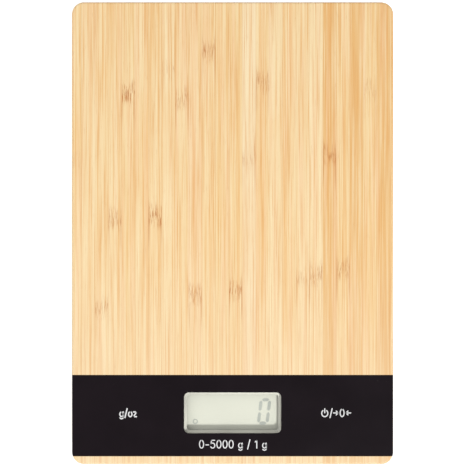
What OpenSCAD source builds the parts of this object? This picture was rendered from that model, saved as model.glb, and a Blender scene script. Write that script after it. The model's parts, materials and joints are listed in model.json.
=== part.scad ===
// Digital kitchen scale: a bamboo platform with a display strip let into its front,
// a moulded tray under it, and four feet that each press on a load cell.
// Millimetres. +Z is up, the display is at -Y, and the origin is on the table
// under the middle of the platform.

/* [Platform] */
// Width of the bamboo platform, side to side
board_w = 160; // [134:1:200]
// Depth of the bamboo platform, front to back
board_d = 230; // [192:1:280]
// Thickness of the bamboo platform
board_t = 8; // [6.6:0.1:12]
// Radius of the platform's corners, seen from above
corner_r = 6; // [4:0.5:10]
// Rounding of the platform's top and bottom edges
edge_r = 1; // [0.5:0.1:1.5]

/* [Display strip] */
// Depth of the black overlay, front to back
fascia_d = 40.5; // [38:0.5:50]
// Bamboo left standing in front of the overlay
front_lip = 4; // [3.5:0.5:6]
// Thickness of the printed overlay
overlay_t = 0.5; // [0.3:0.05:0.8]
// Thickness of the adhesive sheet under the overlay
adhesive_t = 0.15; // [0.1:0.05:0.3]
// How far the overlay's face lies below the bamboo
fascia_sink = 0.25; // [0:0.05:0.5]
// Distance of each key from the side of the platform
key_inset = 28; // [24:0.5:32]

/* [Display] */
// Width of the display window
window_w = 48.3; // [40:0.1:58]
// Depth of the display window
window_d = 20.3; // [17:0.1:21]
// Radius of the window's corners
window_r = 2.4; // [1:0.1:4]
// How far the window lies behind the middle of the overlay
window_shift = 1.3; // [0:0.1:2]
// Thickness of the clear lens
lens_t = 1; // [0.8:0.1:1.5]
// Height of the frame's sloping wall under the lens
slope_h = 1; // [0.6:0.1:1.5]
// How far that wall leans in over the display
slope_in = 1.25; // [0.5:0.05:1.8]
// Thickness of each glass plate of the display
glass_t = 0.9; // [0.7:0.1:1.1]
// Thickness of the circuit board
pcb_t = 1.2; // [0.8:0.1:1.6]

/* [Tray and feet] */
// How far the tray's side lies inside the platform's side
tray_inset = 8; // [5:0.5:12]
// Radius of the tray's corners
tray_r = 9; // [6:0.5:12]
// Thickness of the tray's side walls
wall = 1.8; // [1.4:0.1:2.4]
// Thickness of the tray's floor
floor_t = 1.6; // [1.4:0.1:2.2]
// Height of the tray above the table
foot_drop = 2.6; // [2:0.1:5]
// Diameter of the foot cups where they pass through the tray
cup_d = 18.4; // [14:0.1:22.1]
// Free drop of a foot when the scale is picked up
foot_float = 0.4; // [0.2:0.05:0.5]

/* [Load cells and battery] */
// Thickness of the load-cell plates
cell_t = 1.2; // [1:0.1:2]
// Diameter of the coin cell
coin_d = 20; // [16:0.5:24.5]
// Thickness of the coin cell
coin_t = 3.2; // [2:0.1:5]

/* [Hidden] */
$fn = 64;
CORNERS = [
    ["front_left", -1, -1],
    ["front_right", 1, -1],
    ["back_left", -1, 1],
    ["back_right", 1, 1]
];
CORNER_NAMES = [for (c = CORNERS) c[0]];

// Clearances
fit = 0.25;        // around a piece that drops into a pocket
shank_fit = 0.05;  // round a screw's shank in its pilot hole
slide_fit = 0.1;   // round a switch plunger in its cover
tiny = 0.01;       // overlap that keeps cuts clean

// Fixed sizes of bought-in and standard pieces
film_t = 0.2;          // display polariser and reflector
gasket_t = 0.3;        // foam ring round the display
rest_t = 0.8;          // foam under the display, and the height of the frame's bosses
ledge = 2.8;           // part of the front glass that carries the contacts
zebra_w = 2;           // rubber connector, front to back
plate_t = 1;           // flange of the display frame
frame_wall = 1.6;      // wall of the display frame's tower
switch_w = 6;          // key switch, square
switch_cover_t = 0.3;
plunger_d = 3.5;
plunger_gap = 0.1;     // between a plunger and the overlay's level
switch_h = 3.5;        // from the circuit board to the top of the switch's cover
key_travel = 0.25;
key_hole_d = 10.4;     // bored through the platform over each switch
post_h = 2.4;          // posts that carry a load cell
post_r = 2.2;
post_gap = 1.225;      // between a post and the flange of the foot under the plate
post_edge = 2.8;       // from a post's middle to the plate's edge
cell_gap = 0.6;        // between a load cell and the bosses beside it
cell_end = 4.2;        // between a load cell and the tray's end wall
gauge_t = 0.8;         // white coat over the strain gauge
blob_r = 6;            // epoxy drop over the controller chip
blob_h = 1.1;
lead_d = 0.9;
lead_pitch = 1.1;
lead_lift = 0.15;       // height of a lead over the plate it crosses
solder_pitch = 1.8;
solder_r = 0.75;
lead_room = 0.8;       // free height over the gauge coats
boss_r = 4.2;          // tray screw bosses
boss_bite = 0.4;       // how far a boss runs into the tray's wall
tray_screw = [5.6, 1.7, 2.4, 5];     // head diameter, head height, shank, length in the bamboo
display_screw = [4.2, 1.2, 1.8, 2.5];
cell_screw = [4, 1.1, 1.5];
counterbore = 2;       // depth of a screw head's seat in the tray
door_t = 1.4;
knuckle_r = 1.25;
hinge_pin_r = 0.75;
contact_t = 0.3;
bay_wall = 1.4;
bay_ceiling = 1.2;
coin_rest = 0.4;       // height of the ribs on the door that hold the coin cell up
label_t = 0.15;
label_w = 52;
label_d = 30;
label_sink = 0.2;
rib_h = 2;
rib_t = 1.2;
tray_edge_r = 1.2;     // rounding of the tray's bottom edge

// Heights, from the table up
tray_z = foot_drop;
floor_z = tray_z + floor_t;
cell_z = floor_z + post_h;
cell_top = cell_z + cell_t;
gauge_top = cell_top + gauge_t;
coin_z = tray_z + door_t + coin_rest;
ceiling_z = coin_z + coin_t + 2 * contact_t;
bay_top = ceiling_z + bay_ceiling;

// Depths below the platform's top face
rebate_depth = fascia_sink + overlay_t + adhesive_t;
lcd_depth = rebate_depth + lens_t + slope_h + gasket_t;
lcd_t = 2 * film_t + 2 * glass_t;
pcb_depth = lcd_depth + lcd_t + rest_t;
electronics_depth = pcb_depth + pcb_t + display_screw[1];

// The platform sits on whichever needs more room: the load cells or the battery bay
hang = max(0, electronics_depth - board_t);
board_z = max(gauge_top + lead_room + hang, bay_top + fit);
top_z = board_z + board_t;
tray_h = board_z - tray_z;
rebate_z = top_z - rebate_depth;
lens_z = rebate_z - lens_t;
lip_z = lens_z - slope_h;
lcd_z = top_z - lcd_depth;
pcb_z = top_z - pcb_depth;
plate_z = pcb_z + rest_t;
pocket_z = plate_z + plate_t;

// Plan of the display strip
fascia_y = -board_d / 2 + front_lip + fascia_d / 2;
window_y = fascia_y + window_shift;
key_x = board_w / 2 - key_inset;
lens_w = window_w + 3.2;
lens_d = window_d + 3.2;
sight_w = window_w - 2 * slope_in;
sight_d = window_d - 2 * slope_in;
glass_w = window_w + 2.2;
rear_d = window_d - 0.7;
glass_d = rear_d + ledge;
glass_y = window_y - rear_d / 2 + glass_d / 2;
tower_w = glass_w + 2 * (fit + frame_wall + 0.2);
tower_d = 2 * (glass_y - window_y + glass_d / 2 + fit + frame_wall);
pcb_w = 2 * (key_x + 9);
pcb_d = tower_d;
frame_w = pcb_w + 2;
frame_d = tower_d + 2.4;
inner_screw_x = tower_w / 2 + 4;
outer_screw_x = key_x + 6.2;
screw_y = pcb_d / 2 - 3.2;
DISPLAY_SCREWS = [
    [-inner_screw_x, window_y - screw_y], [inner_screw_x, window_y - screw_y],
    [-inner_screw_x, window_y + screw_y], [inner_screw_x, window_y + screw_y],
    [-outer_screw_x, window_y + screw_y], [outer_screw_x, window_y + screw_y]
];

// Load cells: the posts stand clear of the foot's flange, and the plate reaches past them
flange_d = cup_d + 3.6;
cell_post = (flange_d / 2 + post_gap + post_r) / sqrt(2);
cell_w = 2 * (cell_post + post_edge);

// Plan of the tray
tray_w = board_w - 2 * tray_inset;
tray_d = board_d - 2 * tray_inset;
corner_screw_x = tray_w / 2 - wall - boss_r + boss_bite;
corner_screw_y = tray_d / 2 - wall - boss_r + boss_bite;
cell_x = corner_screw_x - boss_r - cell_gap - cell_w / 2;
cell_y = tray_d / 2 - wall - cell_end - cell_w / 2;
middle_y = cell_y - cell_w;
TRAY_SCREWS = concat(
    [for (c = CORNERS) [c[1] * corner_screw_x, c[2] * corner_screw_y]],
    [[-corner_screw_x, 0], [corner_screw_x, 0], [0, -middle_y], [0, middle_y]]
);

// Battery bay, behind the front middle screw
bay_w = coin_d + 4;
bay_d = coin_d + 8;
bay_y = -middle_y + boss_r + bay_wall + 13 + bay_d / 2;
hinge_y = bay_y + bay_d / 2 - knuckle_r - fit;
hinge_z = tray_z + knuckle_r;
coin_y = bay_y - 1;
label_y = bay_y + bay_d / 2 + 6 + label_d / 2;

// Feet
hole_d = cup_d + 0.5;
flange_t = 0.8;
flange_z = floor_z + foot_float;
pad_d = cup_d - 3.4;
pad_t = 2.2;
pad_seat = 1.2;
nib_r = 1;
boss_top_r = 3;

// Leads run inside the tray, from each gauge coat to the circuit board
lead_x = min(inner_screw_x - 6, cell_x - cell_w / 2 - 4);
run_z = floor_z + rib_h + lead_d + 0.4;
LEAD_SIDES = 8;
LEAD_STEPS = 3;

// ---------- shared shapes ----------

// A rectangle with round corners
module rounded_square(w, d, r) {
    square([w - 2 * r, d], center = true);
    square([w, d - 2 * r], center = true);
    for (x = [-1, 1], y = [-1, 1])
        translate([x * (w / 2 - r), y * (d / 2 - r)]) circle(r);
}

// Half of a slab's section, with its bottom and top edges rounded
function half_section(reach, t, top, bottom, steps = 4) = concat(
    [[0, 0]],
    [for (i = [0:steps]) let (a = 90 * i / steps - 90)
        [reach - bottom + bottom * cos(a), bottom + bottom * sin(a)]],
    [for (i = [0:steps]) let (a = 90 * i / steps)
        [reach - top + top * cos(a), t - top + top * sin(a)]],
    [[0, t]]
);

// A slab with round corners in plan and rounded edges: one skin over its four turned corners
module slab(w, d, t, r, top, bottom) {
    hull()
        for (x = [-1, 1], y = [-1, 1])
            translate([x * (w / 2 - r), y * (d / 2 - r), 0])
                rotate_extrude($fn = 32) polygon(half_section(r, t, top, bottom));
}

// A screw with its head at z = 0 going down and its shank going up
module screw(head_d, head_h, shank_d, length) {
    translate([0, 0, -head_h])
        difference() {
            cylinder(d = head_d, h = head_h);
            for (a = [0, 90])
                rotate([0, 0, a])
                    translate([-head_d * 0.3, -head_d * 0.07, -tiny])
                        cube([head_d * 0.6, head_d * 0.14, head_h * 0.6]);
        }
    translate([0, 0, -tiny]) cylinder(d = shank_d, h = length - shank_d / 2);
    translate([0, 0, length - shank_d / 2 - 2 * tiny])
        cylinder(d1 = shank_d, d2 = shank_d * 0.3, h = shank_d / 2);
}

module at_each(places) {
    for (p = places) translate([p[0], p[1], 0]) children();
}

module at_keys() {
    for (side = [-1, 1]) translate([side * key_x, window_y, 0]) children();
}

module at_corner(c) {
    translate([c[1] * cell_x, c[2] * cell_y, 0])
        mirror([c[1] < 0 ? 1 : 0, 0, 0]) children();
}

module at_all_corners() {
    for (c = CORNERS) at_corner(c) children();
}

// ---------- platform and display strip ----------

module bamboo_board() {
    color([0.93, 0.80, 0.59])
        difference() {
            translate([0, 0, board_z])
                slab(board_w, board_d, board_t, corner_r, edge_r, edge_r);
            // Rebate for the overlay, right across the platform
            translate([-board_w / 2 - 1, fascia_y - fascia_d / 2, rebate_z])
                cube([board_w + 2, fascia_d, rebate_depth + 1]);
            // Pocket for the display frame and the circuit board
            translate([0, window_y, board_z - 1])
                linear_extrude(pocket_z - board_z + 1)
                    rounded_square(frame_w + 2 * fit, frame_d + 2 * fit, 2);
            // Opening for the frame's tower
            translate([0, window_y, pocket_z - 1])
                linear_extrude(rebate_z - pocket_z + 2)
                    rounded_square(tower_w + 2 * fit, tower_d + 2 * fit, 2);
            at_keys() translate([0, 0, pocket_z - 1])
                cylinder(d = key_hole_d, h = rebate_z - pocket_z + 2);
            at_each(DISPLAY_SCREWS) translate([0, 0, pocket_z - 1])
                cylinder(r = display_screw[2] / 2 + shank_fit, h = display_screw[3] + 1.2);
            at_each(TRAY_SCREWS) translate([0, 0, board_z - 1])
                cylinder(r = tray_screw[2] / 2 + shank_fit, h = tray_screw[3] + 1.2);
        }
}

// The strip's outline: the platform's own outline, cut to the strip's depth
module strip_outline(inset) {
    intersection() {
        rounded_square(board_w - 2 * inset, board_d - 2 * inset, corner_r - inset);
        translate([0, fascia_y]) square([board_w, fascia_d - 2 * inset], center = true);
    }
}

module fascia_overlay() {
    color([0.09, 0.08, 0.09])
        translate([0, 0, rebate_z + adhesive_t])
            linear_extrude(overlay_t)
                difference() {
                    strip_outline(0.1);
                    translate([0, window_y]) rounded_square(window_w, window_d, window_r);
                }
}

module fascia_adhesive() {
    color([0.85, 0.85, 0.8])
        translate([0, 0, rebate_z])
            linear_extrude(adhesive_t)
                difference() {
                    strip_outline(0.6);
                    translate([0, window_y])
                        rounded_square(window_w + 1, window_d + 1, window_r + 0.5);
                    for (side = [-1, 1])
                        translate([side * key_x, window_y]) circle(d = key_hole_d + 1.6);
                }
}

module display_lens() {
    color([0.9, 0.95, 0.95, 0.3])
        translate([0, window_y, lens_z])
            linear_extrude(lens_t) rounded_square(lens_w, lens_d, window_r + 1);
}

module display_frame() {
    color([0.92, 0.92, 0.9])
        difference() {
            union() {
                translate([0, window_y, plate_z])
                    linear_extrude(plate_t) rounded_square(frame_w, frame_d, 2);
                translate([0, window_y, plate_z])
                    linear_extrude(rebate_z - plate_z) rounded_square(tower_w, tower_d, 2);
                at_each(DISPLAY_SCREWS) translate([0, 0, pcb_z]) cylinder(d = 5, h = rest_t + tiny);
            }
            // Seat for the lens
            translate([0, window_y, lens_z])
                linear_extrude(lens_t + 1)
                    rounded_square(lens_w + 2 * slide_fit, lens_d + 2 * slide_fit,
                                   window_r + 1 + slide_fit);
            // Sloping sides down to the display
            translate([0, window_y, lip_z - tiny])
                linear_extrude(slope_h + 2 * tiny, slices = 1,
                               scale = [window_w / sight_w, window_d / sight_d], $fn = 32)
                    rounded_square(sight_w, sight_d, window_r * 0.7);
            // Pocket for the display, open below
            translate([-glass_w / 2 - fit, glass_y - glass_d / 2 - fit, plate_z - 1])
                cube([glass_w + 2 * fit, glass_d + 2 * fit, lip_z - plate_z + 1]);
            at_keys() translate([0, 0, plate_z - 1])
                linear_extrude(plate_t + 2) square(switch_w + 2 * fit, center = true);
            at_each(DISPLAY_SCREWS) translate([0, 0, pcb_z - 1])
                cylinder(r = display_screw[2] / 2 + 0.2, h = rest_t + plate_t + 2);
        }
}

module lcd_gasket() {
    color([0.15, 0.15, 0.15])
        translate([0, window_y, lcd_z])
            linear_extrude(gasket_t)
                difference() {
                    square([glass_w, rear_d], center = true);
                    rounded_square(sight_w + 0.8, sight_d + 0.5, window_r * 0.6);
                }
}

module lcd_polariser() {
    color([0.90, 0.91, 0.84])
        translate([0, window_y, lcd_z - film_t])
            linear_extrude(film_t) square([glass_w - 0.6, rear_d - 0.6], center = true);
}

// Front plate with the contact ledge, and the shorter rear plate bonded behind it
module lcd_glass() {
    color([0.85, 0.9, 0.88, 0.5]) {
        translate([-glass_w / 2, glass_y - glass_d / 2, lcd_z - film_t - glass_t])
            cube([glass_w, glass_d, glass_t]);
        translate([-glass_w / 2, window_y - rear_d / 2, lcd_z - film_t - 2 * glass_t])
            cube([glass_w, rear_d, glass_t + tiny]);
    }
}

module lcd_reflector() {
    color([0.78, 0.80, 0.74])
        translate([0, window_y, lcd_z - lcd_t])
            linear_extrude(film_t) square([glass_w - 0.6, rear_d - 0.6], center = true);
}

module zebra_strip() {
    color([0.85, 0.55, 0.6])
        translate([0, glass_y + glass_d / 2 - ledge / 2 + zebra_w * 0.05, pcb_z])
            linear_extrude(lcd_z - film_t - glass_t - pcb_z)
                square([glass_w - 4, zebra_w], center = true);
}

module lcd_rest() {
    color([0.2, 0.2, 0.2])
        for (side = [-1, 1])
            translate([0, window_y + side * rear_d * 0.3, pcb_z])
                linear_extrude(rest_t) square([glass_w - 6, 3], center = true);
}

// ---------- electronics ----------

module circuit_board() {
    color([0.12, 0.36, 0.2])
        translate([0, 0, pcb_z - pcb_t])
            linear_extrude(pcb_t)
                difference() {
                    translate([0, window_y]) rounded_square(pcb_w, pcb_d, 1);
                    for (p = DISPLAY_SCREWS) translate(p) circle(r = display_screw[2] / 2 + 0.2);
                }
}

// Epoxy drop over the controller chip: a shallow dome, turned from a quarter ellipse
module controller_blob() {
    color([0.06, 0.06, 0.06])
        translate([0, window_y - 2, pcb_z - pcb_t])
            rotate_extrude()
                polygon(concat([[0, 0]], [for (a = [0:10:90]) [blob_r * cos(a), -blob_h * sin(a)]]));
}

// Small parts on the circuit board's underside: each is [x, y, length, width, height]
COMPONENTS = [
    [-12, 6, 2, 1.25, 0.55], [-12, 2, 2, 1.25, 0.55], [-12, -3, 2, 1.25, 0.55],
    [12, 5, 2, 1.25, 0.55], [12, 1, 2, 1.25, 0.55], [9, -9, 1.6, 0.8, 0.45],
    [5, -10, 1.6, 0.8, 0.45], [-6, -10, 2.9, 1.3, 1], [-8, 9.5, 3, 1.5, 0.6]
];

module board_components() {
    color([0.25, 0.2, 0.15]) {
        for (c = COMPONENTS)
            translate([c[0], window_y + c[1], pcb_z - pcb_t - c[4] / 2])
                cube([c[2], c[3], c[4]], center = true);
        // Quartz crystal in its can, lying down
        translate([14.5, window_y - 4, pcb_z - pcb_t - 1])
            rotate([0, 90, 0]) cylinder(d = 2, h = 6);
        // Buzzer-sized storage capacitor
        translate([-17.5, window_y - 7, pcb_z - pcb_t - 2.2]) cylinder(d = 4, h = 2.2);
    }
}

module solder_joints() {
    color([0.75, 0.76, 0.78])
        for (p = SOLDER_PLACES)
            translate([p[0], p[1], pcb_z - pcb_t])
                difference() {
                    sphere(r = solder_r, $fn = 32);
                    translate([-solder_r, -solder_r, 0]) cube(2 * solder_r);
                }
}

module switch_bodies() {
    color([0.08, 0.08, 0.08])
        at_keys() translate([0, 0, pcb_z])
            linear_extrude(switch_h - switch_cover_t) square(switch_w, center = true);
}

module switch_covers() {
    color([0.78, 0.79, 0.8])
        at_keys() translate([0, 0, pcb_z + switch_h - switch_cover_t])
            linear_extrude(switch_cover_t)
                difference() {
                    rounded_square(switch_w, switch_w, 0.6);
                    circle(d = plunger_d + 2 * slide_fit);
                }
}

// The plunger stands on the switch body's dome, which gives way by the key's travel
module switch_plunger(side) {
    z = pcb_z + switch_h - switch_cover_t + key_travel;
    color([0.1, 0.1, 0.1])
        translate([side * key_x, window_y, z])
            cylinder(d = plunger_d, h = rebate_z - plunger_gap - z);
}

module unit_switch_plunger() { switch_plunger(-1); }
module tare_switch_plunger() { switch_plunger(1); }

module display_screws() {
    color([0.7, 0.71, 0.72])
        at_each(DISPLAY_SCREWS) translate([0, 0, pcb_z - pcb_t])
            screw(display_screw[0], display_screw[1], display_screw[2],
                  pcb_t + rest_t + plate_t + display_screw[3]);
}

// ---------- tray ----------

// Everything that stands up from the tray's floor
module tray_fittings() {
    at_each(TRAY_SCREWS) translate([0, 0, tray_z + tiny])
        cylinder(r = boss_r, h = tray_h - tiny);
    for (c = CORNERS) at_corner(c)
        for (x = [-1, 1], y = [-1, 1])
            translate([x * cell_post, y * cell_post, floor_z - tiny])
                cylinder(r = post_r, h = post_h + tiny);
    for (c = CORNERS) at_corner(c)
        for (side = [-1, 1])
            translate([side * cell_post, -side * cell_post, cell_z - tiny])
                cylinder(r = 1, h = cell_t + 0.4);
    // Battery bay
    translate([0, bay_y, tray_z + tiny])
        linear_extrude(bay_top - tray_z - tiny)
            rounded_square(bay_w + 2 * bay_wall, bay_d + 2 * bay_wall, 1.5);
    // Stiffening ribs
    for (side = [-1, 1])
        translate([side * (lead_x + 7) - rib_t / 2, -middle_y, floor_z - tiny])
            cube([rib_t, 2 * middle_y, rib_h]);
    for (y = [-middle_y, middle_y])
        translate([-corner_screw_x + boss_r, y - rib_t / 2, floor_z - tiny])
            cube([2 * (corner_screw_x - boss_r), rib_t, rib_h]);
    for (side = [-1, 1])
        translate([side > 0 ? label_w / 2 : -corner_screw_x, -rib_t / 2, floor_z - tiny])
            cube([corner_screw_x - label_w / 2, rib_t, rib_h]);
}

// Room for the coin cell, its contacts and the swing of the door
module bay_hollow() {
    translate([-bay_w / 2, bay_y - bay_d / 2, tray_z - 1])
        cube([bay_w, bay_d, coin_z - tray_z + 1.2]);
    translate([0, coin_y, coin_z - 1]) cylinder(d = coin_d + 2 * fit, h = ceiling_z - coin_z + 1);
    // Space behind the coin cell, over the hinge
    translate([-bay_w / 2, coin_y + coin_d / 2 + 1, coin_z - 1])
        cube([bay_w, bay_d / 2 - coin_d / 2, 2.4]);
    // Slots for the two contacts, out through the bay's front wall
    translate([positive_x - fit, bay_y - bay_d / 2 - bay_wall - 1, positive_z - fit])
        cube([contact_t + 2 * fit, bay_wall + bay_d / 2 + 4, contact_h + 2 * fit]);
    translate([-contact_w / 2 - fit, bay_y - bay_d / 2 - bay_wall - 1, ceiling_z - contact_t - 0.1])
        cube([contact_w + 2 * fit, bay_wall + bay_d / 2 + 4, contact_t + 0.1]);
    // Hinge sockets
    translate([-bay_w / 2 - 1.15, hinge_y, hinge_z])
        rotate([0, 90, 0]) cylinder(r = hinge_pin_r + shank_fit, h = bay_w + 2.3);
}

module bottom_tray() {
    color([0.1, 0.1, 0.105])
        difference() {
            union() {
                difference() {
                    translate([0, 0, tray_z]) slab(tray_w, tray_d, tray_h, tray_r, 0, tray_edge_r);
                    translate([0, 0, floor_z])
                        linear_extrude(tray_h)
                            rounded_square(tray_w - 2 * wall, tray_d - 2 * wall, tray_r - wall);
                }
                tray_fittings();
            }
            at_each(TRAY_SCREWS) {
                translate([0, 0, tray_z - 1])
                    cylinder(d = tray_screw[0] + 0.8, h = counterbore + 1);
                translate([0, 0, tray_z]) cylinder(d = tray_screw[2] + 0.8, h = tray_h + 1);
            }
            at_all_corners() translate([0, 0, tray_z - 1]) cylinder(d = hole_d, h = floor_t + 2);
            at_all_corners()
                for (side = [-1, 1])
                    translate([side * cell_post, side * cell_post, floor_z + 0.2])
                        cylinder(r = cell_screw[2] / 2 + shank_fit, h = post_h + 1);
            bay_hollow();
            // Finger notch in front of the battery door
            translate([0, bay_y - bay_d / 2, tray_z - 1]) cylinder(r = 6, h = 1.7);
            // Shallow seat for the rating label
            translate([0, label_y, tray_z - 1])
                linear_extrude(label_sink + 1) rounded_square(label_w + 0.6, label_d + 0.6, 2);
        }
}

module tray_screws() {
    color([0.7, 0.71, 0.72])
        at_each(TRAY_SCREWS) translate([0, 0, tray_z + counterbore])
            screw(tray_screw[0], tray_screw[1], tray_screw[2], tray_h - counterbore + tray_screw[3]);
}

module rating_label() {
    color([0.85, 0.86, 0.87])
        translate([0, label_y, tray_z + label_sink - label_t])
            linear_extrude(label_t) rounded_square(label_w, label_d, 1.7);
}

// ---------- battery ----------

module battery_door() {
    door_w = bay_w - 2 * fit;
    front = bay_y - bay_d / 2 + fit;
    color([0.1, 0.1, 0.105]) {
        difference() {
            union() {
                translate([-door_w / 2, front, tray_z]) cube([door_w, hinge_y - front, door_t]);
                translate([-door_w / 2, hinge_y, hinge_z])
                    rotate([0, 90, 0]) cylinder(r = knuckle_r, h = door_w);
                translate([-bay_w / 2 - 1, hinge_y, hinge_z])
                    rotate([0, 90, 0]) cylinder(r = hinge_pin_r, h = bay_w + 2);
                // Ribs that hold the coin cell up
                for (x = [-coin_d / 4, coin_d / 4])
                    translate([x - 0.6, coin_y - coin_d * 0.35, tray_z + door_t - tiny])
                        cube([1.2, coin_d * 0.7, coin_rest - 0.1]);
            }
            // Two cuts free the snap tongue at the front edge
            for (x = [-4.6, 4])
                translate([x, front - 1, tray_z - 1]) cube([0.6, 7, door_t + 2]);
            // Grip grooves
            for (i = [0:2])
                translate([-3, front + 2 + 1.4 * i, tray_z - 1]) cube([6, 0.6, 1.35]);
        }
        // Ridge on the tongue that snaps behind the tray's edge
        translate([-3, front + tiny, tray_z + door_t - 0.3])
            rotate([0, 90, 0]) cylinder(r = 0.2, h = 6);
    }
}

module coin_cell() {
    color([0.75, 0.76, 0.77])
        translate([0, coin_y, coin_z]) {
            cylinder(d = coin_d, h = coin_t - 0.3);
            translate([0, 0, coin_t - 0.3 - tiny]) cylinder(d = coin_d - 2.4, h = 0.3 + tiny);
        }
}

contact_h = 2;
contact_w = 5;
contact_tail = 2.2;
positive_x = coin_d / 2 + 0.05;
positive_z = coin_z + 0.5;
tail_y = bay_y - bay_d / 2 - bay_wall - contact_tail;

// Leaf that touches the coin cell's rim
module positive_contact() {
    color([0.8, 0.8, 0.78])
        translate([positive_x, tail_y, positive_z]) cube([contact_t, coin_y + 2 - tail_y, contact_h]);
}

// Strip over the coin cell, with a dimple that touches its cap
module negative_contact() {
    color([0.8, 0.8, 0.78]) {
        translate([-contact_w / 2, tail_y, ceiling_z - contact_t])
            cube([contact_w, coin_y + 2 - tail_y, contact_t]);
        translate([0, coin_y - 2, coin_z + coin_t]) cylinder(d = 3, h = contact_t + tiny);
    }
}

// ---------- load cells and feet ----------

tongue_w = 9;
slot_w = 1.6;
tongue_end = 4.5;
tongue_root = cell_w / 2 - 4;
coat_l = 5.5;
coat_w = 7;
coat_x = tongue_root - 3.2;

// Square plate with a tongue cut free on three sides; its root points to the middle of the scale
module load_cell(c) {
    color([0.72, 0.73, 0.75])
        at_corner(c) translate([0, 0, cell_z])
            linear_extrude(cell_t)
                difference() {
                    rounded_square(cell_w, cell_w, 2.5);
                    for (side = [-1, 1])
                        translate([-tongue_root, side * (tongue_w + slot_w) / 2 - slot_w / 2])
                            square([tongue_root + tongue_end + slot_w, slot_w]);
                    translate([tongue_end, -tongue_w / 2 - slot_w / 2])
                        square([slot_w, tongue_w + slot_w]);
                    circle(r = nib_r + 0.3);
                    for (x = [-1, 1], y = [-1, 1])
                        translate([x * cell_post, y * cell_post]) circle(r = 1.15);
                }
}

// White silicone over each strain gauge, near the tongue's root
module gauge_coats() {
    color([0.94, 0.94, 0.92])
        at_all_corners() translate([-coat_x, 0, cell_top])
            linear_extrude(gauge_t) rounded_square(coat_l, coat_w, 1);
}

module cell_screws() {
    color([0.7, 0.71, 0.72])
        at_all_corners()
            for (side = [-1, 1])
                translate([side * cell_post, side * cell_post, cell_top])
                    mirror([0, 0, 1])
                        screw(cell_screw[0], cell_screw[1], cell_screw[2], cell_t + post_h - 0.4);
}

module foot_cup(c) {
    color([0.12, 0.12, 0.125])
        at_corner(c)
            rotate_extrude()
                polygon([
                    [0, pad_t],
                    [pad_d / 2 + 0.1, pad_t],
                    [pad_d / 2 + 0.1, pad_t - pad_seat + 0.3],
                    [pad_d / 2 + 0.4, pad_t - pad_seat],
                    [cup_d / 2 - 0.4, pad_t - pad_seat],
                    [cup_d / 2, pad_t - pad_seat + 0.4],
                    [cup_d / 2, flange_z],
                    [flange_d / 2, flange_z],
                    [flange_d / 2, flange_z + flange_t],
                    [boss_top_r, flange_z + flange_t],
                    [boss_top_r, cell_z],
                    [nib_r, cell_z],
                    [nib_r, cell_z + 0.9],
                    [0, cell_z + 0.9]
                ]);
}

module foot_pad(c) {
    color([0.05, 0.05, 0.05])
        at_corner(c)
            rotate_extrude()
                polygon([
                    [0, 0], [pad_d / 2 - 0.4, 0], [pad_d / 2, 0.4], [pad_d / 2, pad_t], [0, pad_t]
                ]);
}

// ---------- leads ----------

function unit(v) = v / norm(v);

// A point on the smooth curve through four points, between the middle two
function curve_point(a, b, c, d, t) = 0.5 * (
    2 * b + (c - a) * t + (2 * a - 5 * b + 4 * c - d) * t * t + (3 * b - a - 3 * c + d) * t * t * t
);

// A smooth line through the points
function smooth(p, steps) = let (n = len(p)) concat(
    [for (i = [0:n - 2], s = [0:steps - 1])
        curve_point(p[max(i - 1, 0)], p[i], p[i + 1], p[min(i + 2, n - 1)], s / steps)],
    [p[n - 1]]
);

function direction(p, i) = unit(p[min(i + 1, len(p) - 1)] - p[max(i - 1, 0)]);

// Side vectors along the line, each turned from the last one as little as possible
function side_vectors(p, i = 0, last = [0.1, 0.2, 1]) =
    i == len(p) ? [] :
    let (t = direction(p, i), s = unit(last - t * (last * t)))
    concat([s], side_vectors(p, i + 1, s));

// A closed tube along the points
module tube(p, r, sides) {
    n = len(p);
    s = side_vectors(p);
    rings = [for (i = [0:n - 1]) let (t = direction(p, i), u = cross(t, s[i]))
        for (k = [0:sides - 1]) let (a = 360 * k / sides) p[i] + r * (cos(a) * s[i] + sin(a) * u)];
    walls = [for (i = [0:n - 2], k = [0:sides - 1]) let (m = (k + 1) % sides)
        [i * sides + k, (i + 1) * sides + k, (i + 1) * sides + m, i * sides + m]];
    polyhedron(
        points = rings,
        faces = concat(
            [[for (k = [0:sides - 1]) k]],
            [[for (k = [sides - 1:-1:0]) (n - 1) * sides + k]],
            walls
        )
    );
}

// Where the lead number k of a corner meets the circuit board
function lead_end(c, k) = c[2] < 0
    ? [c[1] * (lead_x + 1.5), window_y + k * solder_pitch]
    : [c[1] * (lead_x + k * solder_pitch), window_y + pcb_d / 2 - 4.5];

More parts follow.
